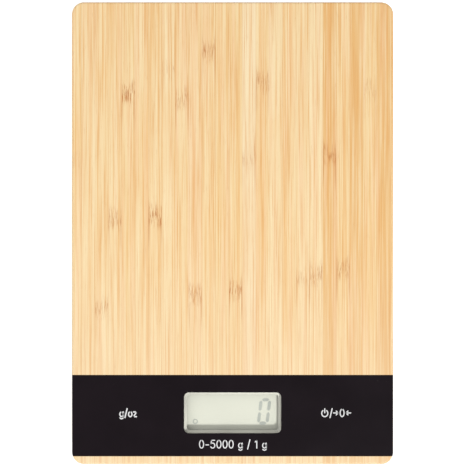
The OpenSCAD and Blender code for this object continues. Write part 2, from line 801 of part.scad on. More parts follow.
// From the gauge coat over the plate's edge, along the tray, and up to the circuit board
function lead_points(c, k) =
    let (
        sx = c[1], x0 = sx * cell_x, y0 = c[2] * cell_y, e = lead_end(c, k),
        edge = sx * (cell_x - cell_w / 2), over = cell_top + lead_d / 2 + lead_lift,
        joint_z = pcb_z - pcb_t - 0.3, k_front = k * lead_pitch
    )
    c[2] < 0
    ? [
        [x0 - sx * (coat_x + coat_l / 2), y0 + k_front, over],
        [edge + sx * 1.5, y0 + k_front, over],
        [edge - sx * 1, e[1] * 0.4 + (y0 + k_front) * 0.6, over],
        [e[0] + sx * 0.8, e[1], over + 0.1],
        [e[0], e[1], joint_z]
    ]
    : [
        [x0 - sx * (coat_x + coat_l / 2), y0 - k * lead_pitch, over],
        [edge + sx * 1.5, y0 - k * lead_pitch, over],
        [edge - sx * 1.5, y0 - k * lead_pitch - 0.4, over - 0.1],
        [sx * (lead_x + k * lead_pitch + 0.8), y0 - 4 - k * lead_pitch, run_z + 0.3],
        [sx * (lead_x + k * lead_pitch), y0 - 12, run_z],
        [sx * (lead_x + k * lead_pitch), y0 * 0.5, run_z],
        [sx * (lead_x + k * lead_pitch), 0, run_z],
        [sx * (lead_x + k * lead_pitch), -middle_y * 0.5, run_z],
        [sx * (lead_x + k * lead_pitch), -middle_y, run_z],
        [e[0], e[1] + 5, run_z + 0.5],
        [e[0], e[1] + 1.2, pcb_z - pcb_t - 2.2],
        [e[0], e[1], joint_z]
    ];

// From a battery contact's tail to the circuit board
function battery_end(side) = [side < 0 ? 0 : 6, window_y + pcb_d / 2 - 4.5];
function battery_points(side) =
    let (
        e = battery_end(side),
        x = side < 0 ? 0 : positive_x + contact_t / 2,
        z = side < 0 ? ceiling_z - contact_t - lead_d / 2 - 0.06 : positive_z + contact_h / 2,
        start = side < 0 ? tail_y + 1.2 : tail_y - tiny,
        shift = side < 0 ? -boss_r - 3 : boss_r + 3
    )
    [
        [x, start, z],
        [x + (side < 0 ? 0 : 0.3), tail_y - 2, z],
        [x * 0.6 + shift * 0.4, tail_y - 5.5, z * 0.5 + run_z * 0.5],
        [shift, -middle_y + 3, run_z],
        [shift, -middle_y - 3.5, run_z],
        [e[0] + (shift - e[0]) * 0.5, e[1] + 5, run_z + 0.5],
        [e[0], e[1] + 1.2, pcb_z - pcb_t - 2.2],
        [e[0], e[1], pcb_z - pcb_t - 0.3]
    ];

SOLDER_PLACES = concat(
    [for (c = CORNERS, k = [-1:1]) lead_end(c, k)],
    [battery_end(-1), battery_end(1)]
);

module cell_leads(k) {
    for (c = CORNERS) tube(smooth(lead_points(c, k), LEAD_STEPS), lead_d / 2, LEAD_SIDES);
}

module red_leads() {
    color([0.75, 0.1, 0.08]) {
        cell_leads(-1);
        tube(smooth(battery_points(1), LEAD_STEPS), lead_d / 2, LEAD_SIDES);
    }
}

module white_leads() {
    color([0.9, 0.9, 0.88]) cell_leads(0);
}

module black_leads() {
    color([0.07, 0.07, 0.07]) {
        cell_leads(1);
        tube(smooth(battery_points(-1), LEAD_STEPS), lead_d / 2, LEAD_SIDES);
    }
}

// ---------- the nodes ----------

bamboo_board();
fascia_overlay();
fascia_adhesive();
display_lens();
display_frame();
lcd_gasket();
lcd_polariser();
lcd_glass();
lcd_reflector();
zebra_strip();
lcd_rest();
circuit_board();
controller_blob();
board_components();
solder_joints();
switch_bodies();
switch_covers();
unit_switch_plunger();
tare_switch_plunger();
display_screws();
bottom_tray();
tray_screws();
rating_label();
battery_door();
coin_cell();
positive_contact();
negative_contact();
gauge_coats();
cell_screws();
red_leads();
white_leads();
black_leads();
for (c = CORNERS) {
    load_cell(c);
    foot_cup(c);
    foot_pad(c);
}
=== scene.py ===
# %% [markdown]
# # A bamboo kitchen scale
# The scale is a bamboo board that stands on four feet. A black film, let into its front end,
# covers two keys and has a window over the display. The mechanical model holds every part at its
# real size, so this lesson only makes surfaces and finishes, and puts each one where its part is.

# %% Load the mechanical model
import json

import bmesh
import bpy
import numpy as np
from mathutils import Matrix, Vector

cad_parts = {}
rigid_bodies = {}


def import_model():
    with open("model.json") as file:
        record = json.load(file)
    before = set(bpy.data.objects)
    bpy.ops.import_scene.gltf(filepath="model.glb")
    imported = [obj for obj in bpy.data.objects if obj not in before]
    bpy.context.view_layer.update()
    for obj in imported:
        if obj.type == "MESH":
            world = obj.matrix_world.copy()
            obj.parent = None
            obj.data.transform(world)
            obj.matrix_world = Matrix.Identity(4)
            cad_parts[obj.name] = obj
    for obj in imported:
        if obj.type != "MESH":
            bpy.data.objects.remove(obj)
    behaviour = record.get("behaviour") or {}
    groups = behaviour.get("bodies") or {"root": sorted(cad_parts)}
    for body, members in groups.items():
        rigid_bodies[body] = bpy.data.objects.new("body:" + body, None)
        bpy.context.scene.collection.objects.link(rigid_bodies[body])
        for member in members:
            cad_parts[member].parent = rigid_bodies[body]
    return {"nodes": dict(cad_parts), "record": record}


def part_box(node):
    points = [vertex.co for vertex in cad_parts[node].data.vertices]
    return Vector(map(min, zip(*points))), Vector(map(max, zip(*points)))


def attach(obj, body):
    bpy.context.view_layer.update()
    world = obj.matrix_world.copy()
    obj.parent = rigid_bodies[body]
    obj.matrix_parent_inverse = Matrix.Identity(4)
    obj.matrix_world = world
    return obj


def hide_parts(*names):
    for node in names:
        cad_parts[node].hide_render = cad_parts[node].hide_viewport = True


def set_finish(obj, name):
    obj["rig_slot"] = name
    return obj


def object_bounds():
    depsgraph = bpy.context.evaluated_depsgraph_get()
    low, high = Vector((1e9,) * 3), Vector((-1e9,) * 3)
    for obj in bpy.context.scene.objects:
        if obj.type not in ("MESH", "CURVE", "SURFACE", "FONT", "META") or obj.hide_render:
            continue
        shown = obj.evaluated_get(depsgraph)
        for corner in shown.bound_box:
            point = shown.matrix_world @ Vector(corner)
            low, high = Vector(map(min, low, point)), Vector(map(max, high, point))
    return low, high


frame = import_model()
NODES = frame["nodes"]
SLOT_OF = {row["node"]: row["material_slot"] for row in frame["record"]["subparts"]}
CAD_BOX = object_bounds()
MM = 0.001
CORNERS = ("front_left", "front_right", "back_left", "back_right")
print(len(NODES), "parts; box in mm:", [[round(1000 * v, 2) for v in corner] for corner in CAD_BOX])

# %% [markdown]
# ## Camera first
# The view is from straight above, with the display at the bottom. A long lens from 65 cm keeps the
# sides of the board out of sight, as in a catalogue. It is made first because it decides which
# details matter.

# %% Camera
LENS = 100.0
SENSOR = 36.0
VIEW_WIDTH = 233.8 * MM
TOP = CAD_BOX[1].z


def new_object(name, data):
    """An object that shows the data (a mesh, a lamp or a camera), linked to the scene."""
    made = bpy.data.objects.new(name, data)
    bpy.context.scene.collection.objects.link(made)
    return made


camera = new_object("camera", bpy.data.cameras.new("camera"))
camera.data.lens = LENS
camera.data.sensor_width = SENSOR
camera.location = (1.2 * MM, -0.9 * MM, TOP + VIEW_WIDTH * LENS / SENSOR)
bpy.context.scene.camera = camera
print("camera height", round(camera.location.z, 3), "m")

# %% [markdown]
# ## Light
# One small key light stands high in front, a little to the right: it throws the crisp shadow of the
# window's edge onto the display. A wide softbox to the left and a pale sky fill the rest. None
# of them is mirrored in the black film, which stays black. The floor glows, like a light table, and
# its back is clear, so a view from below still shows the feet and the battery door.

# %% Lights, sky and floor
FLOOR_SIZE = 30.0
FLOOR_DROP = 0.05 * MM  # just under the pads, so that no two faces lie in one plane


def area_light(name, place, size, watts):
    """A square lamp at place whose -Z side looks at the object."""
    lamp = new_object(name, bpy.data.lights.new(name, "AREA"))
    lamp.data.size = size
    lamp.data.energy = watts
    lamp.location = place
    lamp.rotation_euler = (-Vector(place)).to_track_quat("-Z", "Y").to_euler()


area_light("key", (0.62, -1.22, 1.50), 0.22, 27.5)
area_light("softbox", (-0.85, 0.25, 1.15), 0.9, 4.1)

world = bpy.data.worlds.new("sky")
world.use_nodes = True
world.node_tree.nodes["Background"].inputs["Color"].default_value = (1, 1, 1, 1)
world.node_tree.nodes["Background"].inputs["Strength"].default_value = 0.41
bpy.context.scene.world = world
bpy.context.scene.view_settings.view_transform = "Standard"

bpy.ops.mesh.primitive_plane_add(size=FLOOR_SIZE, location=(0, 0, -FLOOR_DROP))
floor = bpy.context.object
floor.name = "floor"
floor_paint = bpy.data.materials.new("floor_paint")
floor_paint.use_nodes = True
tree = floor_paint.node_tree
paint = tree.nodes["Principled BSDF"]
for key, value in {"Base Color": (0.6, 0.6, 0.6, 1), "Roughness": 0.9,
                   "Emission Color": (1, 1, 1, 1), "Emission Strength": 0.75}.items():
    paint.inputs[key].default_value = value
from_behind = tree.nodes.new("ShaderNodeNewGeometry").outputs["Backfacing"]
clear = tree.nodes.new("ShaderNodeBsdfTransparent").outputs[0]
mix = tree.nodes.new("ShaderNodeMixShader")
for number, source in enumerate((from_behind, paint.outputs[0], clear)):
    tree.links.new(source, mix.inputs[number])
tree.links.new(mix.outputs[0], tree.nodes["Material Output"].inputs["Surface"])
floor.data.materials.append(floor_paint)

# %% [markdown]
# ## From arrays to meshes
# Every new surface below is a grid of points worked out with numpy: rows follow one parameter and
# columns the other. A *skin* is (points, quads, caps), where quads and caps say which points each
# face joins. Keeping skins apart from Blender objects lets one piece be put together from several
# skins before the mesh is made.

# %% Skins
SAME_POINT = 0.002 * MM
SHARP_ANGLE = np.radians(35)


def grid_skin(grid, close_rows=False, close_columns=False, capped=False):
    """Points P[i, j] become the quads (i, j), (i, j+1), (i+1, j+1), (i+1, j).
    Closing joins the last row or column to the first, and caps fill the first and last rows."""
    rows, columns = grid.shape[:2]
    index = np.arange(rows * columns).reshape(rows, columns)
    caps = [index[0, ::-1], index[-1]] if capped else []
    if close_rows:
        index = np.vstack([index, index[:1]])
    if close_columns:
        index = np.hstack([index, index[:, :1]])
    corners = [index[:-1, :-1], index[:-1, 1:], index[1:, 1:], index[1:, :-1]]
    return grid.reshape(-1, 3), np.stack(corners, axis=-1).reshape(-1, 4), caps


def tidy_mesh(mesh):
    """Merge points that coincide, drop faces with no area, and turn the normals out. Edges between
    faces that turn by more than 35 degrees stay sharp, and all others are shaded smooth."""
    work = bmesh.new()
    work.from_mesh(mesh)
    bmesh.ops.remove_doubles(work, verts=work.verts, dist=SAME_POINT)
    bmesh.ops.dissolve_degenerate(work, edges=work.edges, dist=SAME_POINT)
    bmesh.ops.recalc_face_normals(work, faces=work.faces)
    work.to_mesh(mesh)
    work.free()
    mesh.polygons.foreach_set("use_smooth", [True] * len(mesh.polygons))
    mesh.set_sharp_from_angle(angle=SHARP_ANGLE)
    return mesh


def make_mesh(name, skins):
    """Join skins into one mesh: each skin's faces count on from the points of the skins before it."""
    starts = np.cumsum([0] + [len(points) for points, _, _ in skins])
    faces = []
    for (_, quads, caps), start in zip(skins, starts):
        faces += (quads + start).tolist() + [(cap + start).tolist() for cap in caps]
    mesh = bpy.data.meshes.new(name)
    mesh.from_pydata(np.vstack([points for points, _, _ in skins]).tolist(), [], faces)
    return tidy_mesh(mesh)


def add_piece(name, skins, body="scale_body", slot=None, stands_for=()):
    """Put a mesh, or skins to make one from, in the scene, riding on a body of the mechanical model.
    Weighted normals let large flat faces keep their own shading, so rims don't bleed into them."""
    mesh = make_mesh(name, skins) if isinstance(skins, list) else skins
    piece = new_object(name, mesh)
    piece.modifiers.new("flat_faces_stay_flat", "WEIGHTED_NORMAL").keep_sharp = True
    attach(piece, body)
    if slot:
        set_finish(piece, slot)
    if stands_for:
        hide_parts(*stands_for)
    print(f"{name}: {len(mesh.polygons)} faces, rides on {body}")
    return piece


# %% [markdown]
# ## Outlines and sections
# The board, the lens and the label are all slabs with round corners. A slab is a stack of outlines,
# each drawn in a little and lifted a little, so its edges are rounded by real geometry and catch the
# light the way a sanded edge does. Turned parts, such as feet, are a section spun about an axis.

# %% Outlines, slabs and turned shapes
LEAST_CORNER = 0.05 * MM  # a corner with no radius would put several points on one spot


def arc_loop(corners, steps=10):
    """Points along the arcs (centre x, centre y, radius, start angle, end angle), in that order.
    The straight sides between them need no points of their own."""
    cx, cy, radius, start, end = (np.array(column, float)[:, None] for column in zip(*corners))
    angle = np.radians(start + (end - start) * np.linspace(0, 1, steps + 1))
    return np.stack([cx + radius * np.cos(angle), cy + radius * np.sin(angle)], axis=-1).reshape(-1, 2)


def rounded_loop(middle, size, radius, steps=10):
    """A rectangle's outline, a quarter circle at each corner, anticlockwise from the right front."""
    x, y = size[0] / 2 - radius, size[1] / 2 - radius
    places = ((x, -y, -90), (x, y, 0), (-x, y, 90), (-x, -y, 180))
    arcs = [(middle[0] + px, middle[1] + py, radius, a, a + 90) for px, py, a in places]
    return arc_loop(arcs, steps)


def raised(loop, height):
    """The flat outline as points in space at one height."""
    return np.column_stack([loop, np.full(len(loop), height)])


def edge_section(low, high, low_round, high_round, steps=6):
    """Pairs (inset, height): a quarter circle up from the bottom, then one over to the top."""
    angle = np.linspace(0, np.pi / 2, steps + 1)
    sine, cosine = 1 - np.sin(angle), 1 - np.cos(angle)
    up = np.column_stack([low_round * sine, low + low_round * cosine])
    over = np.column_stack([high_round * cosine, high - high_round * sine])
    return np.vstack([up, over])


def slab_skin(middle, size, radius, section, steps=10):
    """A closed slab: one rounded outline for each (inset, height) of its section."""
    rows = []
    for inset, height in section:
        corner = max(radius - inset, LEAST_CORNER)
        outline = rounded_loop(middle, np.array(size) - 2 * inset, corner, steps)
        rows.append(raised(outline, height))
    return grid_skin(np.array(rows), close_columns=True, capped=True)


def softened(section, radius, steps=4):
    """Round all but a section's two ends: each corner P becomes the curve (1-t)^2 A + 2t(1-t) P +
    t^2 B between points A and B, which lie a radius, or at most 45 % of the side, from P."""
    points = np.array(section, float)
    t = np.linspace(0, 1, steps + 1)[:, None]
    out = [points[:1]]
    for before, here, after in zip(points[:-2], points[1:-1], points[2:]):
        to_a, to_b = before - here, after - here
        a = here + to_a * min(radius / np.linalg.norm(to_a), 0.45)
        b = here + to_b * min(radius / np.linalg.norm(to_b), 0.45)
        out.append((1 - t) ** 2 * a + 2 * t * (1 - t) * here + t**2 * b)
    return np.vstack(out + [points[-1:]])


def turned_skin(middle, section, around=64):
    """Spin the section (radius, height) about the upright line through middle."""
    angle = np.linspace(0, 2 * np.pi, around, endpoint=False)
    radius, height = np.array(section)[:, 0, None], np.array(section)[:, 1, None]
    x, y = middle[0] + radius * np.cos(angle), middle[1] + radius * np.sin(angle)
    return grid_skin(np.stack([x, y, height + 0 * angle], axis=-1), close_columns=True)


def box_of(node):
    """The low corner and the high corner of a part's box."""
    return [np.array(corner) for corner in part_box(node)]


def middle_of(node):
    """The centre of a part's box, and its size."""
    low, high = box_of(node)
    return (low + high) / 2, high - low


for node in ("bamboo_board", "fascia_overlay", "display_lens", "bottom_tray", "battery_door"):
    print(node, "is", (middle_of(node)[1] / MM).round(2), "mm")

# %% [markdown]
# ## The bamboo board
# The real board is planed from bonded strips, its edges are rounded over, and a router then cuts the
# shelf for the film right across it, with an opening for the display and pockets underneath. Making
# it in the same order is easiest: one rounded slab, and then a Boolean cut for each pass of the router.

# %% Board blank and router cuts
EDGE_ROUND = 1.0 * MM
BOARD_CORNER = 6.0 * MM
POCKET_CORNER = 2.0 * MM
PLAY = 0.25 * MM  # room round what sits in a cut
OVERCUT = 3.0 * MM  # how far a cutter stands out of the wood
KEY_HOLE_R = 5.2 * MM
FILM_GAP = 0.1 * MM
OVERLAP = 1.0 * MM  # how far one cut reaches into the next
TOWER = np.array([54.6, 28.9]) * MM  # the raised part of the display's frame


def carve(mesh, cutters):
    """Cut each closed skin out of the mesh with an exact Boolean, and return the new mesh."""
    blank = new_object("blank", mesh)
    tools = []
    for number, skin in enumerate(cutters):
        tool = new_object(f"cutter_{number}", make_mesh(f"cutter_{number}", [skin]))
        cut = blank.modifiers.new(tool.name, "BOOLEAN")
        cut.object = tool
        cut.operation = "DIFFERENCE"
        cut.solver = "EXACT"
        tools.append(tool)
    bpy.context.view_layer.update()
    carved = bpy.data.meshes.new_from_object(blank.evaluated_get(bpy.context.evaluated_depsgraph_get()))
    for spare in [blank] + tools:
        bpy.data.objects.remove(spare)
    return tidy_mesh(carved)


def cutter(middle, size, low, high, radius=POCKET_CORNER, steps=10):
    """An upright block for cutting: one outline at its low height and the same one at its high."""
    return slab_skin(middle, size, radius, [(0, low), (0, high)], steps)


board_middle, board_size = middle_of("bamboo_board")
film_low, film_high = box_of("fascia_overlay")
frame_low, frame_high = box_of("display_frame")
lens_middle, lens_size = middle_of("display_lens")
key_places = [middle_of(node)[0] for node in ("unit_switch_plunger", "tare_switch_plunger")]
BOARD_LOW = board_middle[2] - board_size[2] / 2
SHELF = box_of("fascia_adhesive")[0][2]
FRAME_BASE = frame_low[2] + 0.8 * MM

blank_section = edge_section(BOARD_LOW, TOP, EDGE_ROUND, EDGE_ROUND, 8)
blank_skin = slab_skin(board_middle, board_size, BOARD_CORNER, blank_section, 16)
shelf_size = (2 * board_size[0], film_high[1] - film_low[1] + 2 * FILM_GAP)
shelf_middle = (0, (film_low[1] + film_high[1]) / 2)
key_top = SHELF + OVERLAP
key_section = [(0, FRAME_BASE), (KEY_HOLE_R, FRAME_BASE), (KEY_HOLE_R, key_top), (0, key_top)]
cuts = [
    cutter(shelf_middle, shelf_size, SHELF, TOP + OVERCUT, 0.02 * MM, 6),
    cutter(lens_middle, TOWER + 2 * PLAY, FRAME_BASE, SHELF + OVERCUT),
    cutter(lens_middle, frame_high - frame_low + 2 * PLAY, BOARD_LOW - OVERCUT, FRAME_BASE + OVERLAP),
] + [turned_skin(place, key_section) for place in key_places]
board_mesh = carve(make_mesh("bamboo_platform", [blank_skin]), cuts)
add_piece("bamboo_platform", board_mesh, slot="bamboo", stands_for=["bamboo_board"])

# %% [markdown]
# ## The black film
# A printed plastic sheet lies on the shelf, glued down. It is one closed ring: the outline of its
# window joins the outline of the board's front end, row by row, with a hair-fine rounding at each
# rim. Both outlines have the same number of points, corner for corner, so the rows match.

# %% Film with its window
WINDOW = np.array([48.3, 20.3]) * MM
WINDOW_CORNER = 2.4 * MM
RIM = 0.12 * MM
ARC_STEPS = 12


def film_outline(inset):
    """The film's edge: sharp back corners, and front corners that follow the board's own."""
    radius = BOARD_CORNER - FILM_GAP - inset
    cx, cy = board_size[0] / 2 - BOARD_CORNER, -board_size[1] / 2 + BOARD_CORNER
    front, back = film_low[1] + inset, film_high[1] - inset - RIM
    turn = np.degrees(np.arcsin((cy - front) / radius))
    side = board_size[0] / 2 - FILM_GAP - inset - RIM
    corners = [
        (cx, cy, radius, -turn, 0), (side, back, RIM, 0, 90),
        (-side, back, RIM, 90, 180), (-cx, cy, radius, 180, 180 + turn),
    ]
    return arc_loop(corners, ARC_STEPS)


def window_outline(grow):
    """The window's edge, moved outward by grow: its sides grow twice that, and its corners once."""
    return rounded_loop(lens_middle, WINDOW + 2 * grow, WINDOW_CORNER + grow, ARC_STEPS)


film_bottom, film_top = film_low[2], film_high[2]
halfway = 0.3 * RIM  # a quarter circle's middle is 1 - cos 45 degrees, or 0.3, from both sides
rim = [(0, film_bottom), (0, film_top - RIM), (halfway, film_top - halfway), (RIM, film_top)]
film_rows = [raised(window_outline(grow), height) for grow, height in rim]
film_rows += [raised(film_outline(inset), height) for inset, height in rim[::-1]]
film_skin = grid_skin(np.array(film_rows), close_rows=True, close_columns=True)
add_piece("overlay_film", [film_skin], slot="black_film", stands_for=["fascia_overlay"])

# %% [markdown]
# ## Lens
# Behind the window is a clear plate that keeps dust and flour off the display. It is one slab, with
# edges rounded just enough to catch a line of light.

# %% Lens plate
LENS_CORNER = 3.4 * MM
LENS_ROUND = 0.15 * MM
lens_low, lens_high = box_of("display_lens")
lens_section = edge_section(lens_low[2], lens_high[2], LENS_ROUND, LENS_ROUND, 3)
lens_skin = slab_skin(lens_middle, lens_size, LENS_CORNER, lens_section)
add_piece("lens_plate", [lens_skin], slot="clear_lens", stands_for=["display_lens"])

# %% [markdown]
# ## The display's glass
# Under the lens is a sandwich of polarising film, two plates of glass and a pale reflector. The film
# and the two plates are bonded without air, so they are one closed skin here: a renderer only
# follows light through a few clear faces, on its way in and out together, and where two faces lie in
# one plane it can lose one of them.

# %% Glass stack
AIR = 0.02 * MM  # a gap under and over the stack, so that no two faces lie in one plane
LAYER_CORNER = 0.3 * MM
REAR_REACH = 0.6 * MM  # the rear plate is this much wider and deeper than the polariser
glass_low, glass_high = box_of("lcd_glass")
polariser_middle, polariser_size = middle_of("lcd_polariser")
POLARISER_TOP = box_of("lcd_polariser")[1][2] - AIR
STEP = (glass_low[2] + glass_high[2]) / 2  # where the rear plate ends and the front one begins

rear_plate = rounded_loop(polariser_middle, polariser_size + REAR_REACH, LAYER_CORNER)
front_plate = rounded_loop(*middle_of("lcd_glass"), LAYER_CORNER)
polariser = rounded_loop(polariser_middle, polariser_size, LAYER_CORNER)
stack_rows = [
    raised(rear_plate, glass_low[2] + AIR), raised(rear_plate, STEP),
    raised(front_plate, STEP), raised(front_plate, glass_high[2]),
    raised(polariser, glass_high[2]), raised(polariser, POLARISER_TOP),
]
stack_skin = grid_skin(np.array(stack_rows), close_columns=True, capped=True)
add_piece("display_glass", [stack_skin], slot="lcd_glass", stands_for=["lcd_glass", "lcd_polariser"])

# %% [markdown]
# ## Strokes
# Printed marks and display segments are all *strokes*: a line with a width, flat on top. A stroke is
# a grid with four points across, low left, high left, high right and low right. Its half width
# shrinks to nothing over each end, by a cosine for a round end or straight for a pointed one.

# %% Strokes
def stroke_skin(line, width, low, high, round_ends=True):
    """A flat ribbon along line. Past each end the line goes on by half a width times sin(a), while
    the half width falls as cos(a), so a round end is a half circle and a pointed one a triangle."""
    line = np.array(line, float)
    angle = np.radians(np.linspace(15, 90, 6)) if round_ends else np.radians([90])
    first, last = line[1] - line[0], line[-1] - line[-2]
    reach = width / 2 * np.sin(angle)[:, None]
    before = line[0] - first / np.linalg.norm(first) * reach[::-1]
    after = line[-1] + last / np.linalg.norm(last) * reach
    half = np.concatenate([np.cos(angle)[::-1], np.ones(len(line)), np.cos(angle)])[:, None] * width / 2
    line = np.vstack([before, line, after])
    along = np.gradient(line, axis=0)
    along /= np.linalg.norm(along, axis=1, keepdims=True)
    aside = half * np.column_stack([-along[:, 1], along[:, 0]])
    left, right = line + aside, line - aside
    rows = [raised(left, low), raised(left, high), raised(right, high), raised(right, low)]
    return grid_skin(np.stack(rows, axis=1), close_columns=True)


def curve_line(centre, rx, ry, start, end, steps=20):
    """Points on the ellipse arc x = rx cos a, y = ry sin a, from the start angle to the end angle."""
    angle = np.radians(np.linspace(start, end, steps + 1))
    return np.column_stack([centre[0] + rx * np.cos(angle), centre[1] + ry * np.sin(angle)])


def ring_skin(centre, rx, ry, width, low, high, around=40):
    """A flat oval ring, closed both ways."""
    grow = np.array([-1, -1, 1, 1]) * width / 2
    angle = np.linspace(0, 2 * np.pi, around, endpoint=False)[:, None]
    x, y = centre[0] + (rx + grow) * np.cos(angle), centre[1] + (ry + grow) * np.sin(angle)
    z = np.array([low, high, high, low]) + 0 * angle
    return grid_skin(np.stack([x, y, z], axis=-1), close_rows=True, close_columns=True)


for round_ends in (True, False):
    points = stroke_skin([(0, 0), (10, 0)], 1, 0, 1, round_ends)[0]
    print("a stroke 10 long and 1 wide:", len(points), "points, round ends:", round_ends)

# %% [markdown]
# ## The figure
# What shows in the window is the reflector, dimmed where the liquid crystal is switched on. So the
# figure is thin solid bars just over the reflector, and the layers above it stay see-through. A 0
# lights six of the seven bars, which lean to the right and have pointed ends and hair-fine gaps.

# %% The figure on the display
FIGURE_MIDDLE = np.array([15.8, -89.4]) * MM
FIGURE_SIZE = np.array([4.3, 11.7]) * MM
SEGMENT = 1.5 * MM
LEAN = np.tan(np.radians(7))
STABLE_MARK = np.array([-18.7, -94.4]) * MM
MARK_R, MARK_W = 1.05 * MM, 0.5 * MM
LIQUID_LOW = glass_low[2] + 0.08 * MM
LIQUID_HIGH = LIQUID_LOW + 0.03 * MM


def segment_skin(start, end, gap=0.34 * MM):
    """One bar of the figure, between two corners of its box, with pointed ends. Its lean moves each
    point to the right by its height over the figure's middle times the lean's tangent."""
    start, end = np.array(start), np.array(end)
    way = (end - start) / np.linalg.norm(end - start)
    line = np.linspace(start + way * (SEGMENT / 2 + gap), end - way * (SEGMENT / 2 + gap), 3)
    points, quads, caps = stroke_skin(line, SEGMENT, LIQUID_LOW, LIQUID_HIGH, round_ends=False)
    points[:, 0] += points[:, 1] * LEAN
    return points + [FIGURE_MIDDLE[0], FIGURE_MIDDLE[1], 0], quads, caps


ZERO = np.array([(-1, 1), (1, 1), (1, 0), (1, -1), (-1, -1), (-1, 0), (-1, 1)]) * FIGURE_SIZE / 2
bars = [segment_skin(start, end) for start, end in zip(ZERO[:-1], ZERO[1:])]
mark_skin = ring_skin(STABLE_MARK, MARK_R, MARK_R, MARK_W, LIQUID_LOW, LIQUID_HIGH)
figures = [add_piece("display_figure", bars), add_piece("display_stable_mark", [mark_skin])]

# %% [markdown]
# ## Printed marks
# The film is printed in white with plain marks: units over the left key, a power sign and a "back to
# zero" sign over the right one, and the weighing range under the window. Each sign is a few strokes
# in a box one unit high, so the whole alphabet of the object fits in one short table.

# %% Signs as strokes
SIGNS = {  # sign: (advance, strokes)
    "0": (0.66, [curve_line((0.33, 0.5), 0.24, 0.45, 90, 450)]),
    "1": (0.46, [[(0.12, 0.76), (0.30, 0.95)], [(0.30, 0.95), (0.30, 0.05)]]),
    "5": (0.66, [[(0.54, 0.95), (0.17, 0.95)], [(0.17, 0.95), (0.12, 0.54)],
                 curve_line((0.31, 0.34), 0.25, 0.29, 135, -150)]),
    "g": (0.64, [curve_line((0.30, 0.34), 0.20, 0.28, 90, 450), [(0.52, 0.62), (0.52, 0.00)],
                 curve_line((0.31, 0.00), 0.21, 0.20, 0, -150)]),
    "o": (0.60, [curve_line((0.30, 0.34), 0.21, 0.29, 90, 450)]),
    "z": (0.54, [[(0.10, 0.62), (0.46, 0.62)], [(0.46, 0.62), (0.10, 0.05)],
                 [(0.10, 0.05), (0.46, 0.05)]]),
    "/": (0.42, [[(0.08, -0.06), (0.34, 1.02)]]),
    "-": (0.56, [[(0.12, 0.42), (0.44, 0.42)]]),
    " ": (0.36, []),
    "power": (0.96, [curve_line((0.45, 0.46), 0.37, 0.41, 128, 412), [(0.45, 1.0), (0.45, 0.52)]]),
    "to_right": (0.74, [[(0.06, 0.5), (0.62, 0.5)], [(0.40, 0.73), (0.62, 0.5)],
                        [(0.40, 0.27), (0.62, 0.5)]]),
    "to_left": (0.74, [[(0.68, 0.5), (0.12, 0.5)], [(0.34, 0.73), (0.12, 0.5)],
                       [(0.34, 0.27), (0.12, 0.5)]]),
}
INK_LOW = film_top - 0.01 * MM
INK_HIGH = film_top + 0.02 * MM


def printed(name, signs, middle, height, weight, spread=1.0):
    """Set signs side by side about middle, at one height, with strokes of one weight, spread apart."""
    starts = np.cumsum([0] + [SIGNS[s][0] for s in signs]) * height * spread
    origin = np.array(middle) - [starts[-1] / 2, height / 2]
    skins = []
    for sign, start in zip(signs, starts):
        for line in SIGNS[sign][1]:
            placed = np.array(line) * height + origin + [start, 0]
            skins.append(stroke_skin(placed, weight, INK_LOW, INK_HIGH))
    print(name, "is", round(float(starts[-1]) / MM, 1), "mm wide")
    return add_piece(name, skins)


unit_key, tare_key = (place[:2] for place in key_places)
POWER_SIGNS = ["power", "/", "to_right", "0", "to_left"]
prints = [
    printed("unit_key_print", "g/oz", unit_key, 4.1 * MM, 0.62 * MM),
    printed("power_key_print", POWER_SIGNS, tare_key - [0.4 * MM, 0], 4.1 * MM, 0.56 * MM, 1.05),
    printed("range_print", "0-5000 g / 1 g", (0.3 * MM, -105.0 * MM), 4.3 * MM, 0.50 * MM, 1.07),
]

# %% [markdown]
# ## Feet
# Each foot is a rubber pad pressed into a hard plastic cup, and both are turned shapes. The pad's
# sole has three moulded grooves that grip a wet worktop. The cup passes up through the tray, spreads
# into a flange that stops it falling out, and ends in a nib that stands in the load cell's tongue.

# %% Pads and cups
GROOVES = (2.0 * MM, 4.0 * MM, 6.0 * MM)
GROOVE_W = 0.7 * MM
GROOVE_D = 0.45 * MM
PAD_SEAT = 1.0 * MM
BOSS_R = 3.0 * MM
NIB_R = 1.0 * MM
NIB_H = 0.9 * MM
FLANGE_LIFT = 0.4 * MM  # the flange stands this far over the tray's floor, so the foot can drop
FLANGE_T = 0.8 * MM
FLANGE_REACH = 1.8 * MM
PAD_PLAY = 0.1 * MM
FOOT_ROUND = 0.3 * MM
TRAY_FLOOR = box_of("bottom_tray")[0][2] + 1.6 * MM


def pad_section(radius, low, high):
    """The sole from the middle out, dipping at each groove, then the side, and the flat top."""
    sole = [(0, low)]
    for groove in GROOVES:
        sole += [(groove, low), (groove + 0.15 * GROOVE_W, low + GROOVE_D),
                 (groove + 0.85 * GROOVE_W, low + GROOVE_D), (groove + GROOVE_W, low)]
    return softened(sole + [(radius, low), (radius, high), (0, high)], FOOT_ROUND, 3)


def cup_section(pad_r, cup_r, pad_top, cell_low):
    """From the middle out and up: the pad's seat, lip, wall, flange, boss and nib."""
    seat_r, flange_r = pad_r + PAD_PLAY, cup_r + FLANGE_REACH
    flange_low = TRAY_FLOOR + FLANGE_LIFT
    flange_high = flange_low + FLANGE_T
    corners = [
        (0, pad_top), (seat_r, pad_top), (seat_r, PAD_SEAT), (cup_r, PAD_SEAT), (cup_r, flange_low),
        (flange_r, flange_low), (flange_r, flange_high), (BOSS_R, flange_high),
        (BOSS_R, cell_low), (NIB_R, cell_low), (NIB_R, cell_low + NIB_H), (0, cell_low + NIB_H),
    ]
    return softened(corners, FOOT_ROUND, 3)


